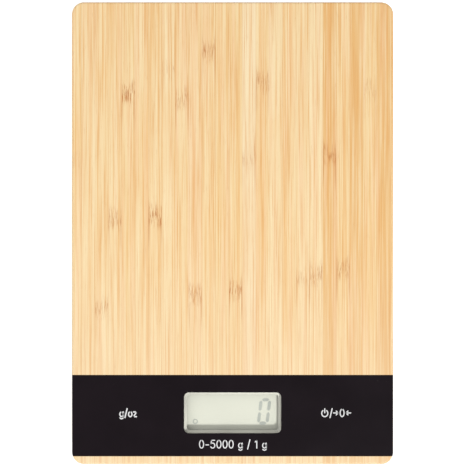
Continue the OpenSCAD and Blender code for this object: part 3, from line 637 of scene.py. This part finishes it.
for corner in CORNERS:
    pad_low, pad_high = box_of(f"foot_pad_{corner}")
    spot, pad_r = (pad_low + pad_high) / 2, (pad_high[0] - pad_low[0]) / 2
    cup_r = middle_of(f"foot_cup_{corner}")[1][0] / 2 - FLANGE_REACH
    cell_low = box_of(f"load_cell_{corner}")[0][2]
    pad_skin = turned_skin(spot, pad_section(pad_r, pad_low[2], pad_high[2]), 72)
    cup_skin = turned_skin(spot, cup_section(pad_r, cup_r, pad_high[2], cell_low), 72)
    body = f"foot_{corner}"
    add_piece(f"pad_{corner}", [pad_skin], body, "foot_rubber", [f"foot_pad_{corner}"])
    add_piece(f"cup_{corner}", [cup_skin], body, "foot_plastic", [f"foot_cup_{corner}"])

# %% [markdown]
# ## Screws
# The tray's screws are seen from below, so their heads are modelled: a low dome with a cross recess.
# On a polar grid the height is the dome plus the recess, and the recess is a smooth step of the
# distance from each arm's centre line. The shank has ring threads, a sawtooth in its section.

# %% Screw with a cross recess
HEAD_ROWS = 22
ARM_HALF = 0.42 * MM  # half the width of the cross's arms
ARM_REACH = 1.75 * MM
RECESS = 1.0 * MM  # the cross's depth
CROWN = 0.35 * MM
THREAD = 0.55 * MM
HEAD_R = 2.8 * MM
HEAD_H = 1.7 * MM
SHANK_R = 1.2 * MM
MIDDLE_SCREW_Y = 62 * MM


def smooth_step(value, low, high):
    """0 below low, 1 above high, and 3t^2 - 2t^3 between."""
    t = np.clip((value - low) / (high - low), 0, 1)
    return t * t * (3 - 2 * t)


def screw_skin(middle, low, tip, around=64):
    """Rows go out over the head, up its side, in along the seat and up the shank. The head's height
    is its crown, which grows with the cube of the radius, plus the recess where an arm is."""
    angle = np.linspace(0, 2 * np.pi, around, endpoint=False)
    radius = HEAD_R * np.linspace(0, 1, HEAD_ROWS)[:, None]
    x, y = np.abs(radius * np.cos(angle)), np.abs(radius * np.sin(angle))
    arms = [
        (1 - smooth_step(across, ARM_HALF - 0.12 * MM, ARM_HALF + 0.05 * MM))
        * (1 - smooth_step(along, ARM_REACH - 0.5 * MM, ARM_REACH))
        for across, along in ((x, y), (y, x))
    ]
    height = low + CROWN * (radius / HEAD_R) ** 3 + RECESS * np.maximum(*arms)
    seat = low + HEAD_H
    turns = np.arange(seat + THREAD, tip - 2 * THREAD, THREAD)
    threads = [(r, z) for z0 in turns for r, z in ((SHANK_R, z0), (0.8 * SHANK_R, z0 + THREAD / 2))]
    rest = np.array([(HEAD_R, seat), (SHANK_R, seat)] + threads + [(SHANK_R, tip - THREAD), (0, tip)])
    all_r = np.vstack([radius, rest[:, 0, None]])
    all_z = np.vstack([height, rest[:, 1, None] + 0 * angle])
    all_x, all_y = middle[0] + all_r * np.cos(angle), middle[1] + all_r * np.sin(angle)
    return grid_skin(np.stack([all_x, all_y, all_z], axis=-1), close_columns=True)


screws_low, screws_high = box_of("tray_screws")
far_x, far_y = screws_high[:2] - HEAD_R
SCREW_PLACES = [(sx * far_x, sy * far_y) for sx in (-1, 1) for sy in (-1, 1)]
SCREW_PLACES += [(-far_x, 0), (far_x, 0), (0, -MIDDLE_SCREW_Y), (0, MIDDLE_SCREW_Y)]
screw_skins = [screw_skin(place, screws_low[2], screws_high[2]) for place in SCREW_PLACES]
add_piece("tray_screw_set", screw_skins, slot="screw_steel", stands_for=["tray_screws"])

# %% [markdown]
# ## Coin cell
# The cell shows when its door is open. It is a pressed can with a rolled rim and, above it, a smaller
# cap set in a sealing ring. The can's flat face carries the one mark that every cell has, a plus
# sign, printed dark.

# %% Can, cap and plus sign
CAP_STEP = 0.3 * MM
FACE_STEP = 0.12 * MM
CAN_ROUND = 0.25 * MM
PLUS, PLUS_STROKE = 4.5 * MM, 0.9 * MM
coin_low, coin_high = box_of("coin_cell")
coin_middle, coin_size = middle_of("coin_cell")
low, high, shoulder = coin_low[2], coin_high[2], coin_high[2] - CAP_STEP
can_section = [  # radius as a share of the cell's own, and height
    (0, low), (0.86, low), (0.88, low + FACE_STEP), (0.94, low + FACE_STEP), (1, low + 0.5 * MM),
    (1, shoulder), (0.90, shoulder), (0.88, shoulder - 0.4 * CAP_STEP), (0.86, shoulder),
    (0.84, high), (0, high),
]
can_section = np.array(can_section) * [coin_size[0] / 2, 1]
can_skin = turned_skin(coin_middle, softened(can_section, CAN_ROUND, 3), 96)
add_piece("coin_cell_can", [can_skin], slot="coin_steel", stands_for=["coin_cell"])

plus_place = coin_middle[:2] - [0, 3 * MM]
plus_skins = [
    stroke_skin([plus_place - way, plus_place + way], PLUS_STROKE, low - 0.03 * MM, low + 0.02 * MM)
    for way in np.eye(2) * PLUS / 2
]
add_piece("coin_plus_sign", plus_skins, slot="black_film")

# %% [markdown]
# ## Label and door mark
# The rating label is a plain silver sticker here, with a printed frame and nothing in it. The door
# has a small raised arrow that says which way its tongue is pushed.

# %% Sticker and arrow
LABEL_CORNER = 1.7 * MM
LABEL_ROUND = 0.03 * MM
RULE_INSET, RULE_CORNER, RULE_W = 1.5 * MM, 1.0 * MM, 0.3 * MM
ARROW_TIP = 10.5 * MM  # from the door's front edge
ARROW_HALF, ARROW_DEPTH, ARROW_STROKE = 2.2 * MM, 2.0 * MM, 0.8 * MM


def frame_skin(middle, size, radius, width, low, high):
    """A flat frame: an outline, and the same outline drawn in by the frame's width."""
    outer = rounded_loop(middle, size, radius)
    inner = rounded_loop(middle, size - 2 * width, radius - width)
    rows = [raised(outer, low), raised(outer, high), raised(inner, high), raised(inner, low)]
    return grid_skin(np.array(rows), close_rows=True, close_columns=True)


label_middle, label_size = middle_of("rating_label")
label_low, label_high = (corner[2] for corner in box_of("rating_label"))
label_section = edge_section(label_low, label_high, LABEL_ROUND, LABEL_ROUND, 2)
label_skin = slab_skin(label_middle, label_size, LABEL_CORNER, label_section)
add_piece("plain_label", [label_skin], slot="label", stands_for=["rating_label"])
rule_size = label_size - 2 * RULE_INSET
rule_heights = label_low - 0.02 * MM, label_low + 0.01 * MM
rule_skin = frame_skin(label_middle, rule_size, RULE_CORNER, RULE_W, *rule_heights)
add_piece("label_rule", [rule_skin], slot="black_film")

door_low, door_high = box_of("battery_door")
tip = np.array([(door_low[0] + door_high[0]) / 2, door_low[1] + ARROW_TIP])
arrow_skins = [
    stroke_skin([tip + [side * ARROW_HALF, ARROW_DEPTH], tip], ARROW_STROKE,
                door_low[2] - 0.15 * MM, door_low[2] + 0.1 * MM)
    for side in (-1, 1)
]
add_piece("door_arrow", arrow_skins, "door", "tray_plastic")

# %% [markdown]
# ## Softer edges on the mechanical parts
# The remaining parts keep their mechanical shape. Moulded plastic and stamped metal never have
# perfectly sharp edges, so six of these parts get two modifiers: Weld, which joins their loose
# triangles, and Bevel, which rounds every edge that turns by more than 40 degrees.

# %% Weld and bevel
EDGE_WIDTHS = {
    "bottom_tray": 0.18 * MM, "battery_door": 0.12 * MM, "display_frame": 0.08 * MM,
    "switch_bodies": 0.1 * MM, "positive_contact": 0.04 * MM, "negative_contact": 0.04 * MM,
}
BEVEL_ANGLE = np.radians(40)
for node, width in EDGE_WIDTHS.items():
    weld = NODES[node].modifiers.new("weld", "WELD")
    weld.merge_threshold = SAME_POINT
    bevel = NODES[node].modifiers.new("soft_edges", "BEVEL")
    bevel.width = width
    bevel.segments = 2
    bevel.limit_method = "ANGLE"
    bevel.angle_limit = BEVEL_ANGLE
    bevel.harden_normals = True
    print(node, "edges rounded by", round(width / MM, 2), "mm")

# %% [markdown]
# ## Building shader trees from Python
# A material is a small graph of nodes. Here a *pattern* is one node's output, a number that varies
# over the surface, and arithmetic on patterns adds the Math nodes, so a recipe reads like a formula.
# All patterns read Object coordinates, which are metres in the object's own frame, so sizes are real.

# %% Nodes and patterns
def add_node(tree, kind, inputs=None, **settings):
    """Add one node, set its properties, link the inputs that come from nodes, and store the others."""
    node = tree.nodes.new(kind)
    for key, value in settings.items():
        setattr(node, key, value)
    for key, value in (inputs or {}).items():
        value = value.socket if isinstance(value, Pattern) else value
        if isinstance(value, bpy.types.NodeSocket):
            tree.links.new(value, node.inputs[key])
        else:
            node.inputs[key].default_value = value
    return node


class Pattern:
    """A number that varies over a surface: a node's output, which each operation adds a node to."""

    def __init__(self, socket):
        """Keep the output, and the tree that it belongs to."""
        self.socket, self.tree = socket, socket.id_data

    def maths(self, operation, *values, clamp=False):
        """The result of one Math node whose inputs are the values, in their order."""
        inputs, settings = dict(enumerate(values)), {"operation": operation, "use_clamp": clamp}
        return Pattern(add_node(self.tree, "ShaderNodeMath", inputs, **settings).outputs[0])

    def __abs__(self):
        """The pattern without its sign."""
        return self.maths("ABSOLUTE", self)

    def step(self, low, high):
        """A smooth 0 to 1 as the pattern goes from low to high."""
        inputs = {"Value": self, "From Min": low, "From Max": high}
        settings = {"interpolation_type": "SMOOTHSTEP"}
        return Pattern(add_node(self.tree, "ShaderNodeMapRange", inputs, **settings).outputs[0])


def arithmetic(operation, swapped=False):
    """A method for Pattern: one Math node whose inputs are the pattern and another, swapped or not."""
    if swapped:
        return lambda pattern, other: pattern.maths(operation, other, pattern)
    return lambda pattern, other: pattern.maths(operation, pattern, other)


OPERATORS = {"add": "ADD", "sub": "SUBTRACT", "mul": "MULTIPLY", "truediv": "DIVIDE", "pow": "POWER"}
for name, operation in OPERATORS.items():
    setattr(Pattern, f"__{name}__", arithmetic(operation))
    setattr(Pattern, f"__r{name}__", arithmetic(operation, swapped=True))
print("a pattern understands:", ", ".join(OPERATORS), "and abs")

# %% [markdown]
# ## Textures and colours
# Two textures are enough for this object. Noise is soft and cloudy, and stretched noise gives fibres;
# the distance to scattered points gives pits and specks. Colours are written as they look on a
# screen, and are turned into the linear values that light adds up in.

# %% Textures and colours
def axes(tree, vector):
    """A vector's X, Y and Z as patterns."""
    return [Pattern(socket) for socket in add_node(tree, "ShaderNodeSeparateXYZ", {0: vector}).outputs]


def noise(tree, where, scale, detail=2.0, **more):
    """Soft noise, with scale blobs in a metre."""
    inputs = {"Vector": where, "Scale": scale, "Detail": detail, **more}
    return Pattern(add_node(tree, "ShaderNodeTexNoise", inputs).outputs[0])


def cells(tree, where, scale):
    """The distance to the nearest of scattered points, with scale points in a metre."""
    return Pattern(add_node(tree, "ShaderNodeTexVoronoi", {"Vector": where, "Scale": scale}).outputs[0])


def blend_colour(tree, factor, first, second):
    """From the first colour to the second as factor goes from 0 to 1."""
    inputs = {0: factor, 6: first, 7: second}
    return add_node(tree, "ShaderNodeMix", inputs, data_type="RGBA").outputs[2]


def colour(red, green, blue):
    """A display colour, each channel from 0 to 255, as the linear colour that shaders use."""
    share = np.array([red, green, blue]) / 255
    linear = np.where(share <= 0.04045, share / 12.92, ((share + 0.055) / 1.055) ** 2.4)
    return (*linear.tolist(), 1.0)


def darker(base, share):
    """The same colour with each channel times share."""
    return tuple(share * channel for channel in base[:3]) + (1,)


print("half of full brightness on a screen is", round(colour(128, 128, 128)[0], 3), "of the light")

# %% [markdown]
# ## Groups and materials
# A node group is a recipe that many materials place, each with its own numbers. A material is made
# with its constant values set straight on the shader, and then only patterns are linked to it.

# %% Groups and materials
def new_group(name, inputs, outputs):
    """A node group with number inputs (Vector is a vector) and number outputs."""
    tree = bpy.data.node_groups.new(name, "ShaderNodeTree")
    for key, value in inputs.items():
        kind = "NodeSocketVector" if key == "Vector" else "NodeSocketFloat"
        socket = tree.interface.new_socket(name=key, in_out="INPUT", socket_type=kind)
        if key != "Vector":
            socket.default_value = value
    for key in outputs:
        tree.interface.new_socket(name=key, in_out="OUTPUT", socket_type="NodeSocketFloat")
    given = {socket.name: Pattern(socket) for socket in tree.nodes.new("NodeGroupInput").outputs}
    return tree, given


def finish_group(tree, **results):
    """Link the group's results to its outputs."""
    put = tree.nodes.new("NodeGroupOutput").inputs
    for key, pattern in results.items():
        tree.links.new(pattern.socket, put[key])


def place_group(tree, group, inputs):
    """Place a group in a material with these inputs, and return its outputs as patterns by name."""
    outputs = add_node(tree, "ShaderNodeGroup", inputs, node_tree=group).outputs
    return {socket.name: Pattern(socket) for socket in outputs}


def new_material(name, constants):
    """A material with a Principled shader, whose constant sockets are set here once."""
    material = bpy.data.materials.new(name)
    material.use_nodes = True
    shader = material.node_tree.nodes["Principled BSDF"]
    for key, value in constants.items():
        shader.inputs[key].default_value = value
    where = material.node_tree.nodes.new("ShaderNodeTexCoord").outputs["Object"]
    return material, material.node_tree, shader, where


def drive(shader, sockets, height=None, strength=1.0, distance=0.05 * MM):
    """Link patterns to the shader, and a height through a Bump node to its normal."""
    tree = shader.id_data
    for key, value in sockets.items():
        tree.links.new(value.socket if isinstance(value, Pattern) else value, shader.inputs[key])
    if height is not None:
        inputs = {"Height": height, "Strength": strength, "Distance": distance}
        tree.links.new(add_node(tree, "ShaderNodeBump", inputs).outputs[0], shader.inputs["Normal"])


# %% [markdown]
# ## Effects that several finishes share
# *Streaks* are noise drawn out along Y: bamboo fibre at one scale, brushed metal at another.
# *Grain* is the fine sand-blasted texture of a moulding tool. *Handling* is what use leaves behind:
# sparse dust specks and soft smears, which change the gloss more than the colour.

# %% Groups: streaks, grain and handling
streaks, given = new_group("streaks", {"Vector": 0, "Across": 2000, "Along": 40, "Shift": 0}, ["Value"])
x, y, z = axes(streaks, given["Vector"])
drawn_out = add_node(streaks, "ShaderNodeCombineXYZ", {
    0: x * given["Across"] + given["Shift"],
    1: y * given["Along"] + given["Shift"],
    2: z * given["Across"],
}).outputs[0]
finish_group(streaks, Value=noise(streaks, drawn_out, 1.0, 3.0, Roughness=0.6))

grain, given = new_group("tool_grain", {"Vector": 0, "Size": 0.3 * MM}, ["Height", "Tone"])
per_metre = 1.0 / given["Size"]
pits = noise(grain, given["Vector"], per_metre) * 0.6 + cells(grain, given["Vector"], per_metre) * 0.6
finish_group(grain, Height=pits, Tone=noise(grain, given["Vector"], 45.0, 4.0))

handling, given = new_group("handling", {"Vector": 0, "Dust": 0.5, "Smears": 0.5}, ["Dust", "Smears"])
reach = (noise(handling, given["Vector"], 60.0) - 0.52) * 0.6
speck = cells(handling, given["Vector"], 420.0)
specks = speck.maths("LESS_THAN", speck, reach)
smear = noise(handling, given["Vector"], 28.0, 5.0, Distortion=1.5).step(0.45, 0.75)
finish_group(handling, Dust=specks * given["Dust"], Smears=smear * given["Smears"])
print("groups:", [group.name for group in bpy.data.node_groups])

# %% [markdown]
# ## Bamboo
# The board is glued from upright strips, so its colour changes in steps across X and the fibres run
# along Y. A short list says, strip by strip from the left, how it is toned and where its knuckle
# lies, the scar where a leaf sheath grew. Colour ramps with constant steps turn the strip's
# number into those facts, so one shader paints the whole board, and cuts through it show end grain.

# %% The strips, from left to right
PALE, LIGHT, MID, WARM, AMBER = 0, 1, 2, 3, 4
TONES = [colour(247, 223, 181), colour(246, 219, 170), colour(245, 215, 163), colour(243, 210, 154),
         colour(234, 188, 124)]
STRIP = 6.67 * MM
FIRST_STRIP = 4.8 * MM
STRIPS = [  # tone, knuckle's place along the board in mm, its strength from 0 to 1
    (WARM, 36, 0.2), (LIGHT, 0, 0), (MID, -38, 0.5), (MID, 7, 0.6), (WARM, 69, 1.0), (MID, 0, 0),
    (MID, 9, 1.0), (LIGHT, 81, 0.25), (MID, 66, 0.6), (MID, -31, 0.7), (MID, 90, 0.7), (WARM, 0, 0),
    (WARM, -29, 0.9), (PALE, 36, 0.3), (MID, 76, 0.7), (LIGHT, 0, 0), (MID, 0, 0), (LIGHT, -23, 0.3),
    (LIGHT, -21, 0.7), (AMBER, 39, 0.8), (WARM, -18, 0.7), (AMBER, 0, 0), (WARM, 71, 0.3),
    (AMBER, 0, 0),
]
LEFT = board_middle[0] - board_size[0] / 2
FRONT = board_middle[1] - board_size[1] / 2
TURN = 0.37  # each strip's own random-looking number goes up by this much, less its whole part


def strip_ramp(tree, number, values):
    """A colour ramp with one constant step for each strip."""
    ramp = tree.nodes.new("ShaderNodeValToRGB")
    ramp.color_ramp.interpolation = "CONSTANT"
    stops = ramp.color_ramp.elements
    stops.remove(stops[1])
    for place, value in enumerate(values):
        stop = stops[0] if place == 0 else stops.new(place / len(values))
        stop.color = value
    tree.links.new(number.socket, ramp.inputs[0])
    return ramp.outputs[0]


def strip_facts(tree, where):
    """How far along the board, how far across its strip (0 to 1), and the strip's tone, knuckle's
    place, knuckle's strength and own number. A strip's number is the whole part of x / STRIP."""
    x, y, _ = axes(tree, where)
    in_strips = (x - (LEFT + FIRST_STRIP - STRIP)) / STRIP
    number = in_strips.maths("FLOOR", in_strips)
    share = (number + 0.5) / len(STRIPS)
    tone = strip_ramp(tree, share, [TONES[row[0]] for row in STRIPS])
    facts = strip_ramp(tree, share, [
        ((knuckle * MM - FRONT) / board_size[1], strength, (n * TURN) % 1, 1)
        for n, (_, knuckle, strength) in enumerate(STRIPS)
    ])
    place, strength, own = (
        Pattern(socket) for socket in add_node(tree, "ShaderNodeSeparateColor", {0: facts}).outputs
    )
    return (y - FRONT) / board_size[1], in_strips - number, tone, place, strength, own


# %% [markdown]
# ### Fibres, knuckles and seams
# Straight bamboo is many layers of streaks, some darker than the strip and some paler, and the colour
# is painted paler towards the front: painted light, for the key light that falls from the front. A
# knuckle is built from three marks at one place along the strip: short dark dashes, dark sides that
# run on further, and a faint crooked line. Its own number bends each one differently. Between two
# strips is a thin seam of glue, and the cut ends show dark dots.

# %% Bamboo finish
def knuckle_marks(along, across, place, own, broad, fibre, dashes):
    """Line, cluster of dashes and dark sides, each 0 to 1, and how far across from the strip's middle.
    The offset from the knuckle is along - place, less a bow that grows with the square of the
    distance from the middle, less a tilt, plus a wobble."""
    centred = across - 0.5
    from_middle = abs(centred)
    bow = from_middle ** 2.0 * (own * 0.07 - 0.02)
    tilt = centred * ((own - 0.5) * 0.02)
    offset = along - place - (bow + tilt) + (broad - 0.5) * 0.045
    near = abs(offset)
    line = near.step(0.006, 0.001) * dashes.step(0.44, 0.60)
    cluster = near.step(0.032, 0.008) * dashes.step(0.48, 0.60)
    run_on = abs(offset + 0.022).step(0.070, 0.010) * from_middle.step(0.34, 0.48)
    return line, cluster, run_on * fibre.step(0.36, 0.56), from_middle


def bamboo_finish():
    """Strip by strip: the tone, then layers of fibre, then knuckles, seams and end grain."""
    constants = {"Coat Roughness": 0.4, "Coat Weight": 0.04, "Specular IOR Level": 0.35}
    material, tree, shader, where = new_material("lacquered_bamboo", constants)
    along, across, wood, place, strength, own = strip_facts(tree, where)

    def streak(per_metre_across, per_metre_along, shift=own * 91.0):
        """Streaks at two rates, shifted by the strip's own number, so that no two strips match."""
        rates = {"Across": per_metre_across, "Along": per_metre_along}
        return place_group(tree, streaks, {"Vector": where, "Shift": shift, **rates})["Value"]

    broad, fibre, dashes = streak(700.0, 4.5), streak(1900.0, 20.0), streak(3000.0, 130.0)
    drift, blush = streak(20.0, 14.0), streak(420.0, 8.0, 7.0)
    # The row with along paints the board paler towards the front: painted light, for the key light from
    # the front.
    for pattern, low, high, amount, shade in (
        (broad, 0.44, 0.68, 0.46, (238, 178, 108)), (broad, 0.54, 0.30, 0.42, (253, 231, 188)),
        (blush, 0.48, 0.66, 0.42, (246, 204, 160)), (fibre, 0.50, 0.68, 0.66, (226, 164, 94)),
        (fibre, 0.50, 0.32, 0.44, (255, 238, 196)), (dashes, 0.58, 0.74, 0.34, (204, 144, 84)),
        (drift, 0.42, 0.72, 0.24, (238, 184, 110)), (along, 0.55, 0.0, 0.34, (242, 222, 190)),
    ):
        wood = blend_colour(tree, pattern.step(low, high) * amount, wood, colour(*shade))

    line, cluster, sides, from_middle = knuckle_marks(along, across, place, own, broad, fibre, dashes)
    for mark, amount, shade in ((sides, 0.90, (206, 138, 78)), (cluster, 0.95, (198, 126, 66)),
                                (line, 0.50, (184, 112, 58))):
        wood = blend_colour(tree, mark * strength * amount, wood, colour(*shade))

    glue = from_middle.step(0.478, 0.497)
    seam = glue * (broad.step(0.40, 0.62) + 0.10)
    wood = blend_colour(tree, seam * 0.5, wood, colour(208, 150, 92))
    facing = axes(tree, tree.nodes.new("ShaderNodeNewGeometry").outputs["Normal"])
    cut_end = abs(facing[1]).step(0.55, 0.9)
    wood = blend_colour(tree, cut_end * 0.62, wood, colour(206, 158, 102))
    wood = blend_colour(tree, cut_end * dashes.step(0.40, 0.66) * 0.5, wood, colour(158, 104, 56))

    height = fibre * 0.5 - (glue + line * strength)
    drive(shader, {"Base Color": wood, "Roughness": fibre * 0.16 + 0.52}, height, 0.35, 0.03 * MM)
    return material


FINISHES = {"bamboo": bamboo_finish()}
print(len(STRIPS), "strips of", round(STRIP / MM, 2), "mm")

# %% [markdown]
# ## Plastics, rubber and inks
# Moulded plastic is one recipe with different numbers: a base colour that drifts slightly, tool grain
# as bump, sparse dust specks and smears in the gloss. Rubber is the same recipe, duller and coarser.

# %% Moulded finish
DUST_GREY = colour(178, 172, 160)


def moulded_finish(name, base, rough, size, depth, dust, smears=0.5, specular=0.5, coat=0.0,
                   darkest=0.80):
    """Plastic or rubber with tool grain of one size and depth. Its darkest tone is a share of base."""
    constants = {"Specular IOR Level": specular, "Coat Weight": coat, "Coat Roughness": 0.1}
    material, tree, shader, where = new_material(name, constants)
    texture = place_group(tree, grain, {"Vector": where, "Size": size})
    use = place_group(tree, handling, {"Vector": where, "Dust": dust, "Smears": smears})
    body = blend_colour(tree, texture["Tone"].step(0.3, 0.7), darker(base, darkest), base)
    body = blend_colour(tree, use["Dust"], body, DUST_GREY)
    gloss = texture["Tone"] * 0.12 + (rough - 0.06)
    gloss = gloss.maths("SUBTRACT", gloss, use["Smears"] * 0.12, clamp=True)
    drive(shader, {"Base Color": body, "Roughness": gloss}, texture["Height"], 0.6, depth)
    return material


print("dust is", [round(channel, 2) for channel in DUST_GREY[:3]], "in linear light")

# %% [markdown]
# ### Moulded slots
# The slots differ only in a few numbers, so they are rows of a table. Black plastic is never fully
# black, and white is never fully white, which leaves room for shadows and highlights.

# %% Table of moulded finishes
MOULDED = {  # slot: name, colour, roughness, grain size and depth in mm, dust, what else differs
    "black_film": ("printed_film", (20, 10, 17), 0.34, 0.12, 0.001, 0.02,
                   {"smears": 0.2, "specular": 0.16}),
    "adhesive": ("adhesive_sheet", (215, 212, 200), 0.3, 0.5, 0.01, 0.02, {}),
    "frame_plastic": ("pale_frame", (232, 231, 218), 0.42, 0.25, 0.008, 0.01, {}),
    "foam": ("closed_cell_foam", (34, 34, 34), 0.95, 0.35, 0.08, 0.05,
             {"smears": 0.1, "specular": 0.2}),
    "lcd_film": ("display_reflector", (240, 241, 225), 0.5, 0.1, 0.002, 0.0,
                 {"smears": 0.1, "specular": 0.3, "darkest": 0.96}),
    "zebra_rubber": ("zebra_rubber", (198, 198, 192), 0.6, 0.2, 0.01, 0.02, {}),
    "epoxy": ("potting_epoxy", (16, 16, 17), 0.22, 1.2, 0.03, 0.04, {"smears": 0.3, "coat": 0.3}),
    "components": ("ceramic_parts", (150, 118, 88), 0.4, 0.2, 0.01, 0.02, {}),
    "switch_plastic": ("switch_plastic", (26, 26, 27), 0.45, 0.25, 0.01, 0.02, {}),
    "tray_plastic": ("tray_plastic", (36, 36, 38), 0.56, 0.42, 0.03, 0.10, {}),
    "silicone": ("silicone_coat", (236, 236, 230), 0.45, 1.0, 0.04, 0.03, {}),
    "red_wire": ("red_insulation", (186, 30, 24), 0.4, 0.3, 0.008, 0.02, {}),
    "white_wire": ("white_insulation", (232, 230, 222), 0.4, 0.3, 0.008, 0.02, {}),
    "black_wire": ("black_insulation", (28, 28, 28), 0.4, 0.3, 0.008, 0.02, {}),
    "white_ink": ("white_ink", (240, 240, 240), 0.45, 0.1, 0.002, 0.0, {"smears": 0.2}),
    "display_ink": ("liquid_crystal", (190, 195, 186), 0.5, 0.1, 0.001, 0.0, {"smears": 0.1}),
    "foot_plastic": ("foot_plastic", (38, 38, 40), 0.5, 0.4, 0.02, 0.08, {}),
    "foot_rubber": ("foot_rubber", (46, 46, 46), 0.82, 0.25, 0.03, 0.16,
                    {"smears": 0.2, "specular": 0.3}),
}
for slot, (name, shade, rough, size, depth, dust, more) in MOULDED.items():
    FINISHES[slot] = moulded_finish(name, colour(*shade), rough, size * MM, depth * MM, dust, **more)
print(len(MOULDED), "moulded finishes")

# %% [markdown]
# ## Metals
# Stamped, plated and turned metal differ in colour and in how their fine scratches run. The brushed
# recipe draws noise along Y; where both rates are the same, as on the coin cell and the screws, the
# scratches become plain fine noise.

# %% Metal finish
def metal_finish(name, base, rough, across, along, depth, stain):
    """Metal with drawn-out scratches: across and along are how many there are in a metre."""
    material, tree, shader, where = new_material(name, {"Metallic": 1.0})
    lines = place_group(tree, streaks, {"Vector": where, "Across": across, "Along": along})["Value"]
    tone = place_group(tree, grain, {"Vector": where, "Size": 1.5 * MM})["Tone"]
    body = blend_colour(tree, tone.step(0.45, 0.8) * stain, base, darker(base, 0.72))
    drive(shader, {"Base Color": body, "Roughness": lines * 0.2 + (rough - 0.08)}, lines, 0.5, depth)
    return material


METALS = {  # slot: name, colour, roughness, scratches in a metre across and along, depth in mm, stain
    "solder": ("solder", (214, 216, 220), 0.22, 900.0, 900.0, 0.01, 0.2),
    "sheet_metal": ("stamped_steel", (206, 207, 209), 0.3, 3000.0, 60.0, 0.004, 0.2),
    "screw_steel": ("zinc_plate", (196, 198, 204), 0.34, 1600.0, 1600.0, 0.004, 0.5),
    "label": ("silver_sticker", (206, 208, 210), 0.42, 4200.0, 90.0, 0.003, 0.2),
    "cell_steel": ("nickel_spring_steel", (198, 197, 194), 0.30, 2600.0, 70.0, 0.004, 0.5),
    "contact_nickel": ("nickel_strip", (222, 214, 196), 0.2, 3000.0, 60.0, 0.004, 0.2),
    "coin_steel": ("nickel_can", (212, 213, 214), 0.2, 1500.0, 1500.0, 0.003, 0.4),
}
for slot, (name, shade, rough, across, along, depth, stain) in METALS.items():
    FINISHES[slot] = metal_finish(name, colour(*shade), rough, across, along, depth * MM, stain)
print(len(METALS), "metals")

# %% [markdown]
# ## Clear layers
# The lens and the display's bonded glass are two clear skins. Light has to go in through both, reach
# the reflector and come back with the shadow of the window's edge still crisp. A little alpha does
# that better than refraction: each skin adds a faint haze, which makes a real display look pale.

# %% Clear finish
def clear_finish(name, base, alpha, rough):
    """A thin clear layer: alpha is how much of its own colour it adds, a little more where smeared."""
    material, tree, shader, where = new_material(name, {"IOR": 1.49})
    smears = place_group(tree, handling, {"Vector": where, "Dust": 0.05, "Smears": 0.2})["Smears"]
    body = blend_colour(tree, smears, base, darker(base, 0.94))
    sockets = {"Base Color": body, "Roughness": smears * 0.06 + rough, "Alpha": smears * 0.01 + alpha}
    drive(shader, sockets)
    return material


FINISHES["clear_lens"] = clear_finish("clear_lens", colour(242, 244, 232), 0.02, 0.06)
FINISHES["lcd_glass"] = clear_finish("display_glass", colour(236, 238, 218), 0.035, 0.10)
print("clear finishes: the lens and the display's glass")

# %% [markdown]
# ## Circuit board
# Green solder mask lies over copper tracks that show as slightly lighter, slightly raised lines. Two
# sets of steps, one along X and one along Y, chosen by a coarse checker of cells, give tracks that
# turn at right angles.

# %% Solder mask finish
def mask_finish():
    """Green board: a number swings from 0 to 0.8 mm and back, and tracks are where it is over 0.5."""
    constants = {"Coat Weight": 0.4, "Coat Roughness": 0.12}
    material, tree, shader, where = new_material("solder_mask", constants)
    across, along = (line.maths("PINGPONG", line * (1 / MM), 0.8) for line in axes(tree, where)[:2])
    checker = add_node(tree, "ShaderNodeTexChecker", {"Vector": where, "Scale": 160.0})
    squares = Pattern(checker.outputs["Fac"])
    track = (across * squares + along * (1.0 - squares)).step(0.42, 0.50)
    body = blend_colour(tree, track * 0.5, colour(24, 92, 52), colour(62, 140, 84))
    drive(shader, {"Base Color": body, "Roughness": track * 0.08 + 0.35}, track, 0.5, 0.035 * MM)
    return material


FINISHES["circuit_board"] = mask_finish()
print(len(FINISHES), "finishes in all")

# %% [markdown]
# ## Dressing every piece
# A mechanical part takes the finish of its slot in the record, and a new piece that of the slot it
# was given. The printed marks and the display figures name their slots here.

# %% Assign finishes
for piece in prints:
    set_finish(piece, "white_ink")
for piece in figures:
    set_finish(piece, "display_ink")
SLOT_OF.update({piece.name: piece["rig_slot"] for piece in bpy.data.objects if "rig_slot" in piece})
for name, slot in SLOT_OF.items():
    materials = bpy.data.objects[name].data.materials
    materials.clear()
    materials.append(FINISHES[slot])
print(len(SLOT_OF), "pieces dressed")
